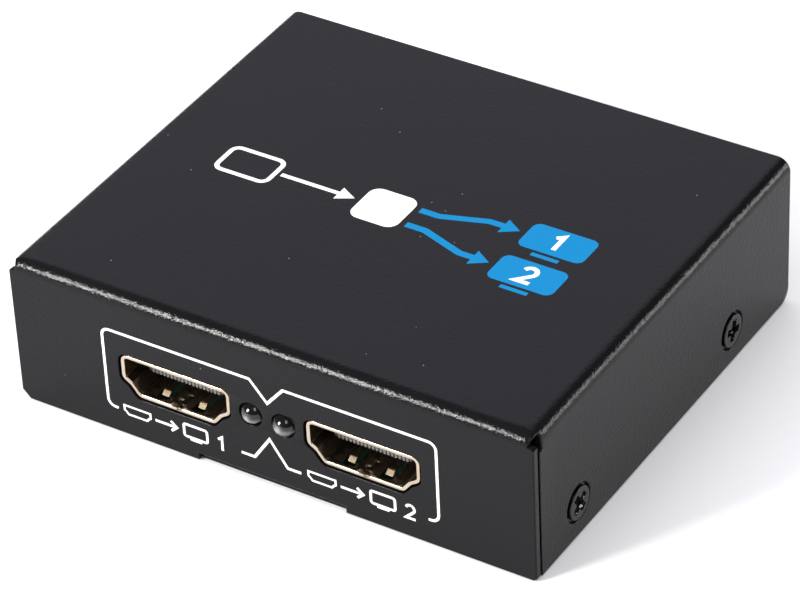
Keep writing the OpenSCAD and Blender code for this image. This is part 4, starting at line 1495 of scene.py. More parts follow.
@dataclass
class BasePlate:
    """The floor, the side flanges and the back panel, folded from one sheet.

    The base is the cover's kind of sheet turned over, so it is folded upside down with its back
    panel as the front and then turned half round about X.
    """

    fold_r: float = 1.5
    flange: float = 9.0
    flange_stop: float = 3.0
    front_gap: float = 1.1
    top_gap: float = 0.02
    tip_back: float = 0.4
    clip: float = 0.3
    collar_r: float = 2.3
    collar_len: float = 1.2
    collar_clip: float = 0.2
    collar_steps: int = 40
    thread_r: float = 1.3
    thread_steps: int = 32
    jack_r: float = 4.2
    jack_steps: int = 64

    def __post_init__(self) -> None:
        """Takes the outside of the base from its solid."""
        self.low, self.high = node_box("base_plate")
        self.rear = -self.low[1] - self.front_gap
        self.sheet = FoldedSheet(
            self.high[0], -self.high[1], 0.0, -self.high[1] + self.flange_stop, self.fold_r
        )

    def half_outline(self) -> Array:
        """The right half of the flat outline, from the top of the back panel round to the tongue.

        Returns:
            Rows of u and v.
        """
        sheet_ = self.sheet
        roof = node_box("case_cover")[1][2] - sheet_.thick
        half = self.high[0]
        top = sheet_.front_v(self.top_gap - roof)
        brow = sheet_.flat_front - sheet_.quarter
        tip = -self.low[1] - self.tip_back
        flange_u = sheet_.side_u(-self.flange)
        us = sheet_.flat_half + sheet_.turns
        across = sheet_.flat_front - sheet_.turns[::-1]
        return np.concatenate([
            [[half, top], [half, brow - self.clip], [half - self.clip, brow]],
            np.stack([np.full(len(across), sheet_.flat_half), across], axis=1),
            np.stack([us, np.full(len(us), sheet_.side_start)], axis=1),
            [[flange_u, sheet_.side_start], [flange_u, self.rear]],
            np.stack([us[::-1], np.full(len(us), self.rear)], axis=1),
            [[TONGUE_HALF, self.rear], [TONGUE_HALF, tip]],
        ])

    def holes(self, screws: ScrewPlaces) -> list[Edge]:
        """The edges of the holes for the input socket, the power jack and the screws.

        Args:
            screws: Where the case screws are.

        Returns:
            One edge for each hole.
        """
        sheet_ = self.sheet
        jack = middle_of("power_jack_pin")
        outlines = [socket_hole("in_shell")]
        outlines.append(circle(jack[0], jack[2], self.jack_r, self.jack_steps))
        holes = [sheet_.edge(sheet_.on_front(outline * [1, -1])) for outline in outlines]
        for sign in (-1, 1):
            for y in screws.ys:
                u = sign * sheet_.side_u(-screws.z)
                holes.append(sheet_.edge(clockwise(circle(u, -y, self.thread_r, self.thread_steps))))
        return holes

    def collar(self) -> Surface:
        """A drawn collar round a thread, along Z.

        Returns:
            The collar.
        """
        r, bore, long, clip = self.collar_r, self.thread_r, self.collar_len, self.collar_clip
        outside = [[bore, 0], [r, 0], [r, long - clip], [r - clip, long]]
        return lathe(np.array(outside + [[bore, long], [bore, 0]]), self.collar_steps)

    def build(self, dresser: Dresser, screws: ScrewPlaces) -> None:
        """Folds the base and its thread collars, and dresses them.

        Args:
            dresser: Dresses the pieces.
            screws: Where the case screws are.
        """
        right = self.half_outline()
        left = right[::-1] * [-1, 1]
        edges = [self.sheet.edge(np.concatenate([right, left]))] + self.holes(screws)
        edge_r = self.sheet.edge_r
        rows = self.sheet.fold_rows(
            self.sheet.side_start + edge_r, self.rear - edge_r, self.sheet.flat_half - edge_r
        )
        half_round = np.diag([1.0, -1.0, -1.0])
        made = sheet(edges, rows, self.sheet.fold).moved(half_round, (0, 0, 0))
        obj = made.as_object("base_plate_folded")
        even_normals(obj)
        dresser.piece(obj, Slot.BLACK_COAT, ["base_plate"])
        inner = self.high[0] - self.sheet.thick
        collars = [
            self.collar().moved(facing_side(-sign), (sign * inner, y, screws.z))
            for sign in (-1, 1)
            for y in screws.ys
        ]
        dresser.piece(Surface.joined(collars).as_object("thread_collars"), Slot.BLACK_COAT)


@dataclass
class CaseScrews:
    """Flat cross-head screws in the sides.

    A head is a disc of polar points whose height drops into the cross: the depth at a point grows
    with its distance inside the nearer of two crossed slots, so that the walls slope, and a cone
    deepens the middle. The points of the cross are marked as its recess, where the finish paints shade.
    """

    proud: float = 0.17
    rim: float = 0.57
    shank_r: float = 1.25
    length: float = 5.2
    slot_half: float = 0.5
    slot_reach: float = 1.45
    deep: float = 0.62
    wall: float = 0.32
    cone: float = 0.75
    cone_deep: float = 1.3
    turns: tuple[tuple[float, float], tuple[float, float]] = ((12.0, 51.0), (36.0, -14.0))
    edge_r: float = 0.12
    pole_r: float = 0.02
    rings: int = 44
    edge_rings: int = 6
    segments: int = 160
    crease: float = 50.0

    def screw(self, head_r: float) -> tuple[Surface, Array]:
        """One screw along Z with the top of its head at zero, and the mark of its recess, where shade is
        painted.

        Args:
            head_r: Radius of the head.

        Returns:
            The screw, and one for each point of the recess or zero.
        """
        edge = self.edge_r
        bevel = np.linspace(0, math.pi / 2, self.edge_rings)[1:]
        flat_radii = np.linspace(self.pole_r, head_r - edge, self.rings)
        radii = np.concatenate([flat_radii, head_r - edge * (1 - np.sin(bevel))])
        angles = round_angles(self.segments)
        r, a = np.meshgrid(radii, angles, indexing="ij")
        x, y = r * np.cos(a), r * np.sin(a)
        first = np.maximum(np.abs(x) - self.slot_reach, np.abs(y) - self.slot_half)
        second = np.maximum(np.abs(y) - self.slot_reach, np.abs(x) - self.slot_half)
        inside = np.clip(-np.minimum(first, second) / self.wall, 0, 1)
        cut = np.maximum(self.deep * inside, self.cone_deep * (1 - r / self.cone))
        fall = np.maximum(r - (head_r - edge), 0) / edge
        z = -cut - edge * (1 - np.sqrt(np.maximum(1 - fall * fall, 0)))
        top = np.stack([x, y, z], axis=2).reshape(-1, 3)
        numbers = np.arange(len(top)).reshape(r.shape)
        middle = np.full(len(angles), len(top))
        fan = np.stack([numbers[0], np.roll(numbers[0], -1), middle], axis=1)
        taper = head_r - self.shank_r
        below = np.array([
            [self.shank_r, -self.length], [self.shank_r, -self.rim - taper], [head_r, -self.rim]
        ])
        under = turned_points(below, angles)
        start = len(top) + 1
        under_numbers = start + np.arange(len(under)).reshape(len(below), -1)
        sides = np.concatenate([under_numbers, numbers[-1:]])
        tip = np.full(len(angles), start + len(under))
        tip_fan = np.stack([np.roll(under_numbers[0], -1), under_numbers[0], tip], axis=1)
        points = np.concatenate([top, [[0, 0, -self.cone_deep]], under, [[0, 0, -self.length]]])
        faces = [
            grid_quads(numbers, wrap_columns=True), fan,
            grid_quads(sides, wrap_columns=True)[:, ::-1], tip_fan,
        ]
        # Marks the recess, where the screws' finish paints shade
        recess = np.zeros(len(points))
        recess[: len(top)] = (cut > 0).ravel()
        recess[len(top)] = 1
        return Surface(points, faces), recess

    def build(self, dresser: Dresser, places: ScrewPlaces) -> None:
        """Drives the four screws home and dresses them.

        Args:
            dresser: Dresses the pieces.
            places: Where the screws are.
        """
        made, recess = self.screw(places.head_r)
        face = places.side + self.proud
        screws = []
        for sign, turns in zip((-1, 1), self.turns):
            for y, turn in zip(places.ys, turns):
                c, s = math.cos(math.radians(turn)), math.sin(math.radians(turn))
                about = np.array([[c, -s, 0], [s, c, 0], [0, 0, 1]])
                screws.append(made.moved(facing_side(sign) @ about, (sign * face, y, places.z)))
        marks = {STEEL.mark: np.tile(recess, len(screws))}
        obj = Surface.joined(screws).as_object("case_screws_turned", self.crease, marks)
        dresser.piece(obj, Slot.SCREW_BLACK, ["case_screws"])


# Sockets


@dataclass
class VideoSocket:
    """The drawn shell of one video socket, with its flared rim, windows, seam and legs.

    The wall's inner face is a grid: columns run round the mouth's outline, and rows from the back
    of the shell to the rim, where the outline grows along a quarter arc. Columns lie on the edges
    of the windows and of the seam, so that those are left out as whole quads, and the wall's
    thickness goes outwards.
    """

    name: str
    at_back: bool
    wall: float = 0.3
    length: float = 12.0
    rim: float = 0.47
    flare: float = 0.14
    lip: float = 0.07
    window: tuple[float, float] = (0.55, 7.8)
    window_half: float = 0.82
    floor_springs: float = 2.5
    roof_springs: float = 3.2
    seam_half: float = 0.05
    lock: float = 0.5
    locks: tuple[tuple[float, float], tuple[float, float]] = ((0.85, 1.45), (2.6, 3.2))
    leg_half: float = 0.6
    legs: tuple[float, float] = (3.4, 9.4)
    blade_set: float = 2.2
    comb_z: tuple[float, float] = (-0.28, 0.85)
    comb_pitch: float = 0.5
    comb_count: int = 19
    comb_width: float = 0.28
    comb_proud: float = 0.04
    comb_sunk: float = 0.1
    leg_inset: float = 0.03
    floor_column: float = 0.9
    roof_columns: tuple[float, float] = (1.0, 5.2)
    more_rows: tuple[float, ...] = (5.5, 4.2, 2.0)
    lock_edge: float = 0.04
    flare_steps: int = 7
    lip_steps: int = 4
    crease: float = 50.0

    def columns(self) -> tuple[Array, Array]:
        """Where the floor and the roof have a column of points, from left to right.

        Returns:
            X of the floor's columns and of the roof's.
        """
        floor = [self.seam_half, self.floor_column]
        floor += [self.floor_springs - self.window_half, self.floor_springs + self.window_half]
        roof = [0.0, self.roof_columns[0], self.roof_springs - self.window_half]
        roof += [self.roof_springs + self.window_half, self.roof_columns[1]]
        both = np.concatenate([-np.array(floor)[::-1], floor])
        over = np.concatenate([-np.array(roof)[:0:-1], roof])
        return both, over

    def rows(self) -> Array:
        """The growth and the depth of the wall's inner face, from the back to the rim.

        Returns:
            Rows of growth and depth.
        """
        locks = np.array(self.locks)
        depths = np.concatenate([
            [self.length, *self.window, *self.more_rows],
            (locks - self.lock_edge).ravel(), (locks + self.lock_edge).ravel(),
        ])
        wall = np.stack([np.zeros(len(depths)), np.sort(depths)[::-1]], axis=1)
        angles = np.linspace(0, math.pi / 2, self.flare_steps + 1)
        flare = self.flare * (1 - directions(angles))
        angles = np.linspace(0, math.pi / 2, self.lip_steps + 1)
        edge = self.lip * np.stack([np.sin(angles), 1 - np.cos(angles)], axis=1)
        edge += [self.rim - self.lip, 0]
        return np.concatenate([wall, flare, edge])

    def wall_grid(self) -> Surface:
        """The inner face of the shell, about the middle of the rim with Y into the case.

        Returns:
            The open face.
        """
        floor, roof = self.columns()
        rows = self.rows()
        outlines = []
        for grow, _ in rows:
            arcs = MOUTH.outline(grow)
            height = MOUTH.height / 2 + grow
            over = np.stack([roof[::-1], np.full(len(roof), height)], axis=1)
            under = np.stack([floor, np.full(len(floor), -height)], axis=1)
            right, left = arcs[:4].reshape(-1, 2), arcs[4:].reshape(-1, 2)
            outlines.append(np.concatenate([right, over, left, under]))
        outline = np.array(outlines)
        depth = np.broadcast_to(rows[:, 1, None], outline.shape[:2])
        points = np.stack([outline[..., 0], depth, outline[..., 1]], axis=2)
        column_x = outline[0, :, 0]
        on_floor = np.arange(outline.shape[1]) >= outline.shape[1] - len(floor)
        on_roof = np.isclose(outline[0, :, 1], MOUTH.height / 2)
        on_roof &= np.abs(column_x) < self.roof_columns[1] + NEAR
        seam = on_floor & (np.abs(column_x) < 2 * self.seam_half)
        shift = np.zeros(len(rows))
        for sign, (start, end) in zip((-1, 1), self.locks):
            shift += sign * self.lock * ((rows[:, 1] > start) & (rows[:, 1] < end))
        points[:, seam, 0] += shift[:, None]
        numbers = np.arange(points.shape[0] * points.shape[1]).reshape(points.shape[:2])
        quads = grid_quads(numbers, wrap_columns=True)
        row, column = np.divmod(quads, points.shape[1])
        in_window = np.zeros(len(quads), dtype=bool)
        row_depth = rows[row, 1]
        deep = row_depth.min(axis=1) > self.window[0] - NEAR
        deep &= row_depth.max(axis=1) < self.window[1] + NEAR
        for on_side, spring in ((on_floor, self.floor_springs), (on_roof, self.roof_springs)):
            near = np.abs(np.abs(column_x) - spring) < self.window_half + NEAR
            in_window |= deep & (on_side & near)[column].all(axis=1)
        in_seam = seam[column].all(axis=1)
        return Surface(points.reshape(-1, 3), [quads[~(in_window | in_seam)]])

    def comb(self) -> Surface:
        """The ends of the contacts on the front of the blade.

        Returns:
            One block for each contact.
        """
        low = np.array([-self.comb_width / 2, self.blade_set - self.comb_proud, self.comb_z[0]])
        high = np.array([self.comb_width / 2, self.blade_set + self.comb_sunk, self.comb_z[1]])
        places = self.comb_pitch * (np.arange(self.comb_count) - (self.comb_count - 1) / 2)
        return Surface.joined([block(low + [place, 0, 0], high + [place, 0, 0]) for place in places])

    def build(self, dresser: Dresser) -> None:
        """Draws the shell, its legs and the ends of the contacts, and dresses them.

        Args:
            dresser: Dresses the pieces.
        """
        node = f"{self.name}_shell"
        turn, shift = socket_pose(self.name, self.at_back)
        obj = self.wall_grid().moved(turn, shift).as_object(f"{node}_drawn", self.crease)
        solid = obj.modifiers.new("wall", "SOLIDIFY")
        solid.thickness = self.wall * MM
        solid.offset = -1.0
        solid.use_even_offset = True
        even_normals(obj)
        dresser.piece(obj, Slot.GILT_SHELL, [node])
        foot = node_box(node)[0][2] - shift[2]
        near = MOUTH.width / 2 + self.leg_inset
        far = MOUTH.width / 2 + self.wall - self.leg_inset
        legs = [
            block((near, leg - self.leg_half, foot), (far, leg + self.leg_half, 0.0))
            for leg in self.legs
        ]
        legs += [leg.mirrored((-1, 1, 1)) for leg in legs]
        joined = Surface.joined(legs).moved(turn, shift)
        dresser.piece(joined.as_object(f"{node}_legs"), Slot.GILT_SHELL)
        comb = self.comb().moved(turn, shift).as_object(f"{self.name}_contact_ends")
        # The contact ends take the darker tin, painted shade for their place deep in the mouth
        dresser.piece(comb, Slot.BRIGHT_METAL, material=dresser.dull_tin)


class Wall(Enum):
    """The walls of a socket that have spring fingers, by the way that these bend in."""

    LOWER = 1
    UPPER = -1


@dataclass
class SpringFingers:
    """A pair of spring fingers in the floor or the roof of a socket.

    A finger is a strip: its middle line runs in depth and height from the root over a rounded crest
    to the tip, is moved to both sides by half the thickness, and is carried across the width.
    """

    socket: str
    wall: Wall
    at_back: bool
    solid_width: float = 0.8
    width: float = 0.92
    thick: float = 0.2
    shell: float = 0.3
    root: tuple[float, float] = (7.6, 0.0)
    crest: tuple[float, float] = (2.0, 0.4)
    tip: tuple[float, float] = (1.42, -0.1)
    crest_r: float = 0.35
    crest_steps: int = 10

    def finger(self) -> Surface:
        """One finger over a floor at height zero, with Y into the case.

        Returns:
            The finger.
        """
        corners = np.array([self.root, self.crest, self.tip])
        line = rounded_path(corners, self.crest_r, self.crest_steps)
        flat, across, faces = ribbon(line, self.thick, -self.width / 2, self.width / 2, False)
        return Surface(np.column_stack([across, flat]), faces)

    def build(self, dresser: Dresser) -> None:
        """Bends the two fingers and dresses them.

        Args:
            dresser: Dresses the pieces.
        """
        node = f"{self.socket}_{self.wall.name.lower()}_springs"
        low, high = node_box(node)
        middle = (high[0] - low[0] - self.solid_width) / 2
        turn, shift = socket_pose(self.socket, self.at_back)
        made = self.finger()
        if self.wall is Wall.UPPER:
            made = made.mirrored((1, 1, -1))
        level = -self.wall.value * (MOUTH.height + self.shell) / 2
        pair = Surface.joined([made.moved(turn, shift + [side * middle, 0, level]) for side in (-1, 1)])
        dresser.piece(pair.as_object(f"{node}_bent"), Slot.GILT_SPRING, [node], body=f"{node}_body")


# Lights


@dataclass
class IndicatorLight:
    """The cast lens of a light.

    The resin is smoky, with a painted glow low in the dome: a milky colour that stands in for the light
    which the dome gathers and bends. It is the sum of two bell curves of the direction out of the dome's
    middle: one of the distance from a place, and one of the height over a level line.
    """

    number: int
    flange_r: float = 1.9
    flange: float = 1.0
    lift: float = 0.0
    # Where the painted glow lies on the dome, and how strong its two parts are
    spot: tuple[float, float] = (-0.12, -0.1)
    spot_r: float = 0.27
    level: float = -0.36
    level_half: float = 0.2
    shares: tuple[float, float] = (0.9, 0.55)
    clip: float = 0.1
    neck: float = 0.02
    dome_rings: int = 17
    segments: int = 64

    def painted_glow(self, out: Array) -> Array:
        """How strongly the glow is painted in each direction out of the middle of the dome.

        Args:
            out: Directions of length one.

        Returns:
            One number from zero to one for each direction.
        """
        x, z = out[:, 0], out[:, 2] - self.lift
        round_ = np.exp(-((x - self.spot[0]) ** 2 + (z - self.spot[1]) ** 2) / self.spot_r ** 2)
        low = np.exp(-(((z - self.level) / self.level_half) ** 2))
        return np.clip(self.shares[0] * round_ + self.shares[1] * low, 0, 1)

    def build(self, dresser: Dresser) -> None:
        """Casts the lens and dresses it.

        Args:
            dresser: Dresses the pieces.
        """
        low, high = node_box(f"led_{self.number}_lens")
        middle = middle_of(f"led_{self.number}_lens")
        length = high[1] - low[1]
        angles = np.linspace(0, math.pi / 2, self.dome_rings)
        dome = LIGHT_R * directions(angles) + [0, length - LIGHT_R]
        dome[-1, 0] = 0.0
        r, top, clip = self.flange_r, self.flange, self.clip
        foot = np.array([
            [0, 0], [r - clip, 0], [r, clip], [r, top - clip], [r - clip, top],
            [LIGHT_R + self.neck, top], [LIGHT_R, top + clip],
        ])
        out = np.array([[1.0, 0, 0], [0, 0, -1.0], [0, 1.0, 0]])
        foot_at = (middle[0], high[1], middle[2])
        lens = lathe(np.concatenate([foot, dome]), self.segments).moved(out, foot_at)
        dome_middle = np.array([middle[0], low[1] + LIGHT_R, middle[2]])
        # The mark carries the painted glow, standing in for light gathered in the dome
        marks = {RESIN.mark: self.painted_glow(unit(lens.points - dome_middle))}
        obj = lens.as_object(f"led_{self.number}_lens_cast", marks=marks)
        dresser.piece(obj, Slot.SMOKE_LENS, [f"led_{self.number}_lens"])


# Print


class Face(Enum):
    """The faces of the case that carry print."""

    FRONT = "front"
    TOP = "top"


@dataclass
class Print:
    """Ink on one face of the case, as thin raised strokes and patches."""

    face: Face
    level: float
    rise: float = 0.012
    layer: float = 0.004
    sink: float = 0.03

    def place(self, flat: Array, height: Array) -> Array:
        """Takes flat points and their heights above the face to points in space.

        Args:
            flat: Rows of places on the face.
            height: Heights above the face.

        Returns:
            Rows of X, Y and Z.
        """
        if self.face is Face.FRONT:
            return np.stack([flat[:, 0], self.level - height, flat[:, 1]], axis=1)
        return np.stack([flat[:, 0], flat[:, 1], self.level + height], axis=1)

    def stroke(self, line: Array, width: float, closed: bool = False, layer: int = 0) -> Surface:
        """A stroke of even width along a line.

        The stroke's section, a flat box from below the face to above it, is carried along the line
        with mitred corners.

        Args:
            line: The middle of the stroke.
            width: Its width.
            closed: Joins the end to the start.
            layer: Number of the stroke among those that cross, so that each lies over the last.

        Returns:
            The closed stroke.
        """
        rise = self.rise + layer * self.layer
        flat, heights, faces = ribbon(line, width, -self.sink, rise, closed)
        return Surface(self.place(flat, heights), faces)

    def patch(self, loop: Array, layer: int = 0) -> Surface:
        """A filled shape.

        Args:
            loop: The shape's outline, anticlockwise.
            layer: Number of the shape among those that overlap.

        Returns:
            The closed patch.
        """
        rise = self.rise + layer * self.layer
        profile = np.array([[0.0, 0.0], [0.0, rise + self.sink]])
        return sheet([Edge(loop, profile)], [], lambda flat, depth: self.place(flat, rise - depth))


def numeral(number: int, height: float) -> Array:
    """The middle line of a plain 1 or 2 about X of zero, worked out for a height of one and scaled.

    Args:
        number: 1 or 2.
        height: Height of the numeral.

    Returns:
        The points of the line.
    """
    if number == 1:
        return height * np.array([[-0.25, 0.78], [0.03, 1.0], [0.03, 0.0]])
    angles = np.radians(np.linspace(165, -35, 14))
    bow = np.array([0, 0.71]) + 0.29 * directions(angles)
    return height * np.concatenate([bow, [[-0.31, 0.0], [0.34, 0.0]]])


@dataclass
class FrontPrint:
    """White lines round the sockets, and plain signs under them."""

    width: float = 0.36
    corner: float = 1.0
    left: float = -22.3
    right: float = 22.5
    top: float = 14.9
    foot: float = 3.72
    stub: float = 1.35
    dip_half: float = 2.25
    dip: float = 12.23
    peak: float = 7.07
    peak_half: float = 2.24
    tail: float = 1.8
    middle: float = 0.2
    sign_z: float = 3.85
    sign_width: float = 0.34
    socket_width: float = 0.272
    socket_x: float = -5.6
    socket_scale: float = 0.26
    arrow: tuple[float, float] = (-3.1, -0.2)
    head: tuple[float, float, float] = (-0.1, 0.8, 0.7)
    screen: tuple[float, float] = (2.5, 0.16)
    screen_size: tuple[float, float, float] = (3.2, 1.75, 0.3)
    stand_half: float = 0.8
    base: float = -0.98
    figure_x: float = 6.1
    figure_high: float = 1.9

    def lines(self, print_: Print) -> list[Surface]:
        """The frame with its dip in the middle, and the peak below.

        Args:
            print_: The face that takes the ink.

        Returns:
            One stroke for each line.
        """
        middle, foot, top, stub = self.middle, self.foot, self.top, self.stub
        peak, tail = self.peak_half, self.peak_half + self.tail
        near = np.array([
            [self.left + stub, foot], [self.left, foot], [self.left, top], [middle - self.dip_half, top],
        ])
        far = np.array([
            [middle + self.dip_half, top], [self.right, top], [self.right, foot], [self.right - stub, foot],
        ])
        low_point = [[middle, self.dip]]
        frame = np.concatenate([rounded_path(near, self.corner), low_point, rounded_path(far, self.corner)])
        rise = np.array([
            [middle - tail, foot], [middle - peak, foot], [middle, self.peak],
            [middle + peak, foot], [middle + tail, foot],
        ])
        return [print_.stroke(frame, self.width), print_.stroke(rise, self.width)]

    def signs(self, print_: Print, middle: float, number: int) -> list[Surface]:
        """A socket sign, an arrow, a screen and a numeral in a row.

        Args:
            print_: The face that takes the ink.
            middle: X of the socket's middle.
            number: Number of the socket.

        Returns:
            The strokes of the signs.
        """
        origin = np.array([middle, self.sign_z])
        tip, back, half = self.head
        x, rise = self.screen
        socket = MOUTH.corners() * self.socket_scale + origin + [self.socket_x, 0]
        arrow = origin + [[self.arrow[0], 0], [self.arrow[1], 0]]
        head = origin + [[tip - back, half], [tip, 0], [tip - back, -half]]
        screen = box_loop(middle + x, self.sign_z + rise, *self.screen_size)
        stand = origin + [[x - self.stand_half, self.base], [x + self.stand_half, self.base]]
        figure = numeral(number, self.figure_high) + origin + [self.figure_x, self.base]
        return [
            print_.stroke(socket, self.socket_width, True),
            print_.stroke(arrow, self.sign_width),
            print_.stroke(head, self.sign_width, layer=1),
            print_.stroke(screen, self.sign_width, True),
            print_.stroke(stand, self.sign_width, layer=1),
            print_.stroke(figure, self.sign_width),
        ]

    def build(self, dresser: Dresser, face_y: float) -> None:
        """Prints the lines and the signs.

        Args:
            dresser: Dresses the pieces.
            face_y: Y of the front's outer face.
        """
        print_ = Print(Face.FRONT, face_y)
        dresser.printed("front_print_lines", self.lines(print_), dresser.white)
        signs = []
        for number in (1, 2):
            middle, _ = socket_middle(f"out_{number}_shell")
            signs += self.signs(print_, middle, number)
        dresser.printed("front_print_signs", signs, dresser.white)


@dataclass
class TopPrint:
    """A plain diagram on the top: a source, a hub and two screens."""

    middle_y: float = -1.0
    line: float = 0.6
    branch: float = 0.95
    source: tuple[float, float, float] = (-20.6, 7.2, 4.8)
    hub: tuple[float, float, float] = (-2.0, 6.4, 6.4)
    screen: tuple[float, float, float] = (19.4, 8.6, 4.9)
    spread: float = 3.5
    lane: float = 1.6
    gap: float = 0.8
    corner: float = 1.0
    hub_corner: float = 1.4
    head_back: float = 2.2
    head_half: float = 1.2
    branch_head_half: float = 1.4
    shaft_back: float = 1.2
    bend_start: float = 2.6
    bend_end: float = 4.0
    bend_r: float = 1.4
    figure_high: float = 2.8
    stand_half: float = 1.8
    stand_drop: float = 0.75

    def head(self, print_: Print, x: float, y: float, half: float) -> Surface:
        """The filled head of an arrow that points along X."""
        back = x - self.head_back
        return print_.patch(np.array([[back, y - half], [x, y], [back, y + half]]), 1)

    def white(self, print_: Print) -> list[Surface]:
        """The source, its arrow and the hub.

        Args:
            print_: The face that takes the ink.

        Returns:
            The strokes and patches in white.
        """
        y = self.middle_y
        x, width, height = self.source
        hub_x, hub_w, hub_h = self.hub
        start, stop = x + width / 2 + self.gap, hub_x - hub_w / 2 - self.gap
        high = self.figure_high
        figures = [
            numeral(k, high) + [self.screen[0], y + sign * self.spread - high / 2]
            for k, sign in ((1, 1), (2, -1))
        ]
        return [print_.stroke(figure, self.line, layer=1) for figure in figures] + [
            print_.stroke(box_loop(x, y, width, height, self.corner), self.line, True),
            print_.stroke(np.array([[start, y], [stop - self.shaft_back, y]]), self.line),
            self.head(print_, stop, y, self.head_half),
            print_.patch(box_loop(hub_x, y, hub_w, hub_h, self.hub_corner)),
        ]

    def blue(self, print_: Print) -> list[Surface]:
        """The two branches and the screens that they end at.

        Args:
            print_: The face that takes the ink.

        Returns:
            The strokes and patches in blue.
        """
        hub_x, hub_w, _ = self.hub
        x, width, height = self.screen
        start, stop = hub_x + hub_w / 2 + self.gap, x - width / 2 - self.gap
        parts = []
        for sign in (-1, 1):
            lane = self.middle_y + sign * self.lane
            far = self.middle_y + sign * self.spread
            path = np.array([
                [start, lane], [start + self.bend_start, lane],
                [stop - self.bend_end, far], [stop - self.shaft_back, far],
            ])
            foot = far - height / 2 - self.stand_drop
            stand = np.array([[x - self.stand_half, foot], [x + self.stand_half, foot]])
            parts += [
                print_.stroke(rounded_path(path, self.bend_r), self.branch),
                self.head(print_, stop, far, self.branch_head_half),
                print_.patch(box_loop(x, far, width, height, self.corner)),
                print_.stroke(stand, self.line),
            ]
        return parts

    def build(self, dresser: Dresser, face_z: float) -> None:
        """Prints the diagram in its two colours.

        Args:
            dresser: Dresses the pieces.
            face_z: Z of the top's outer face.
        """
        print_ = Print(Face.TOP, face_z)
        dresser.printed("top_print_white", self.white(print_), dresser.white)
        dresser.printed("top_print_blue", self.blue(print_), dresser.blue)


# Studio


@dataclass(frozen=True)
class Softbox:
    """A soft light that looks at the part, given by the angles at which the part sees it.

    Attributes:
        name: Name of the light.
        azimuth: Turn from straight ahead of the front panel towards +X.
        height: Angle above the floor.
        spread: Width and height of the light as angles.
        radiance: Brightness of its face.
        mirrored: Shows in reflections.
        colour: Colour of its light.
    """

    name: str
    azimuth: float
    height: float
    spread: tuple[float, float]
    radiance: float
    mirrored: bool = True
    colour: Colour = (1.0, 1.0, 1.0)

    def place(self, distance: float) -> Array:
        """Where the light stands at a distance from the origin.

        Args:
            distance: Distance from the origin.

        Returns:
            Its X, Y and Z.
        """
        turn, lift = math.radians(self.azimuth), math.radians(self.height)
        flat = distance * math.cos(lift)
        return np.array([flat * math.sin(turn), -flat * math.cos(turn), distance * math.sin(lift)])

    def sides(self, distance: float) -> tuple[float, float]:
        """The light's width and height at a distance."""
        return tuple(2 * distance * math.tan(math.radians(angle) / 2) for angle in self.spread)


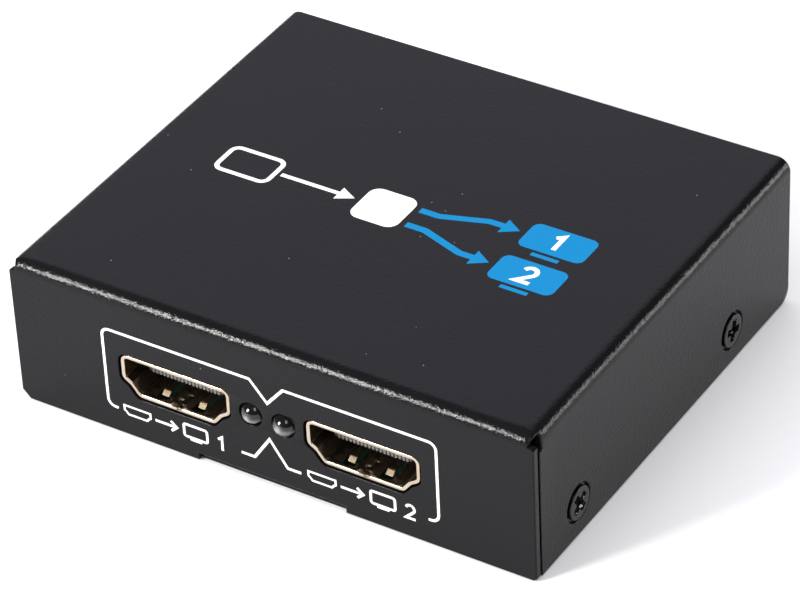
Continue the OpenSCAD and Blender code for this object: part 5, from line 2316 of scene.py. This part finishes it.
@dataclass(frozen=True)
class Studio:
    """A pale floor, soft light and the camera."""

    camera_at: tuple[float, float, float] = (219.03, -334.82, 302.89)
    aim: tuple[float, float, float] = (1.047, -3.132, 10.0)
    roll: float = -2.854
    lens: float = 189.64
    sensor: float = 36.0
    clip: float = 10.0
    floor_reach: float = 3000.0
    sky: float = 0.08
    distance: float = 900.0
    softboxes: tuple[Softbox, ...] = (
        Softbox("key_light", -32.0, 25.0, (13.5, 17.5), 88.0, colour=(1.0, 0.99, 0.98)),
        Softbox("second_light", 43.0, 50.0, (18.0, 26.0), 5.0),
        Softbox("rear_light", 133.0, 8.0, (26.0, 16.0), 10.6),
        Softbox("back_panel", -146.0, 37.0, (60.0, 40.0), 0.97, colour=(0.95, 0.94, 1.1)),
        Softbox("overhead_light", 0.0, 89.0, (90.0, 90.0), 2.0, False),
    )

    def look(self, place: Sequence[float], aim: Sequence[float], roll: float) -> Matrix:
        """The matrix of a camera or a light that looks at a point, turned about its view.

        Args:
            place: Where it stands.
            aim: The point that it looks at.
            roll: Its turn about its view.

        Returns:
            The matrix.
        """
        start = Vector(place) * MM
        turn = (Vector(aim) * MM - start).to_track_quat("-Z", "Y").to_matrix().to_4x4()
        return Matrix.Translation(start) @ turn @ Matrix.Rotation(math.radians(roll), 4, "Z")

    def build(self) -> None:
        """Sets up the floor, the light and the camera."""
        scene = bpy.context.scene
        scene.view_settings.view_transform = "Standard"
        reach = self.floor_reach
        corners = np.array([[-reach, -reach, 0], [reach, -reach, 0], [reach, reach, 0], [-reach, reach, 0]])
        floor = Surface(corners, [np.array([[0, 1, 2, 3]])]).as_object("studio_floor")
        floor.data.materials.append(FloorPaper().material("studio_paper"))
        world = bpy.data.worlds.new("studio_sky")
        scene.world = world
        world.use_nodes = True
        background = world.node_tree.nodes["Background"]
        background.inputs["Strength"].default_value = self.sky
        background.inputs["Color"].default_value = (1.0, 1.0, 1.0, 1.0)
        for box in self.softboxes:
            width, height = box.sides(self.distance * MM)
            light = bpy.data.lights.new(box.name, "AREA")
            light.shape = "RECTANGLE"
            light.size = width
            light.size_y = height
            light.energy = box.radiance * math.pi * width * height
            light.color = box.colour
            obj = bpy.data.objects.new(box.name, light)
            obj.matrix_world = self.look(box.place(self.distance), self.aim, 0.0)
            obj.visible_glossy = box.mirrored
            scene.collection.objects.link(obj)
        camera = bpy.data.cameras.new("camera")
        camera.sensor_width = self.sensor
        camera.lens = self.lens
        camera.clip_start = self.clip * MM
        obj = bpy.data.objects.new("camera", camera)
        obj.matrix_world = self.look(self.camera_at, self.aim, self.roll)
        scene.collection.objects.link(obj)
        scene.camera = obj


def main() -> None:
    """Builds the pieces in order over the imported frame."""
    logging.basicConfig(level=logging.INFO, format="%(message)s")
    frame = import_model()
    Studio().build()
    dresser = Dresser()
    dresser.solids(frame["record"]["subparts"], frame["nodes"])
    screws = ScrewPlaces()
    cover = CaseCover()
    cover.build(dresser, screws)
    BasePlate().build(dresser, screws)
    CaseScrews().build(dresser, screws)
    for name, at_back in (("out_1", False), ("out_2", False), ("in", True)):
        VideoSocket(name, at_back).build(dresser)
        for wall in Wall:
            SpringFingers(name, wall, at_back).build(dresser)
    # The second light's painted glow sits a little higher in its dome
    for number, lift in ((1, 0.0), (2, 0.16)):
        IndicatorLight(number, lift=lift).build(dresser)
    FrontPrint().build(dresser, cover.low[1])
    TopPrint().build(dresser, cover.high[2])


if __name__ == "__main__":
    main()
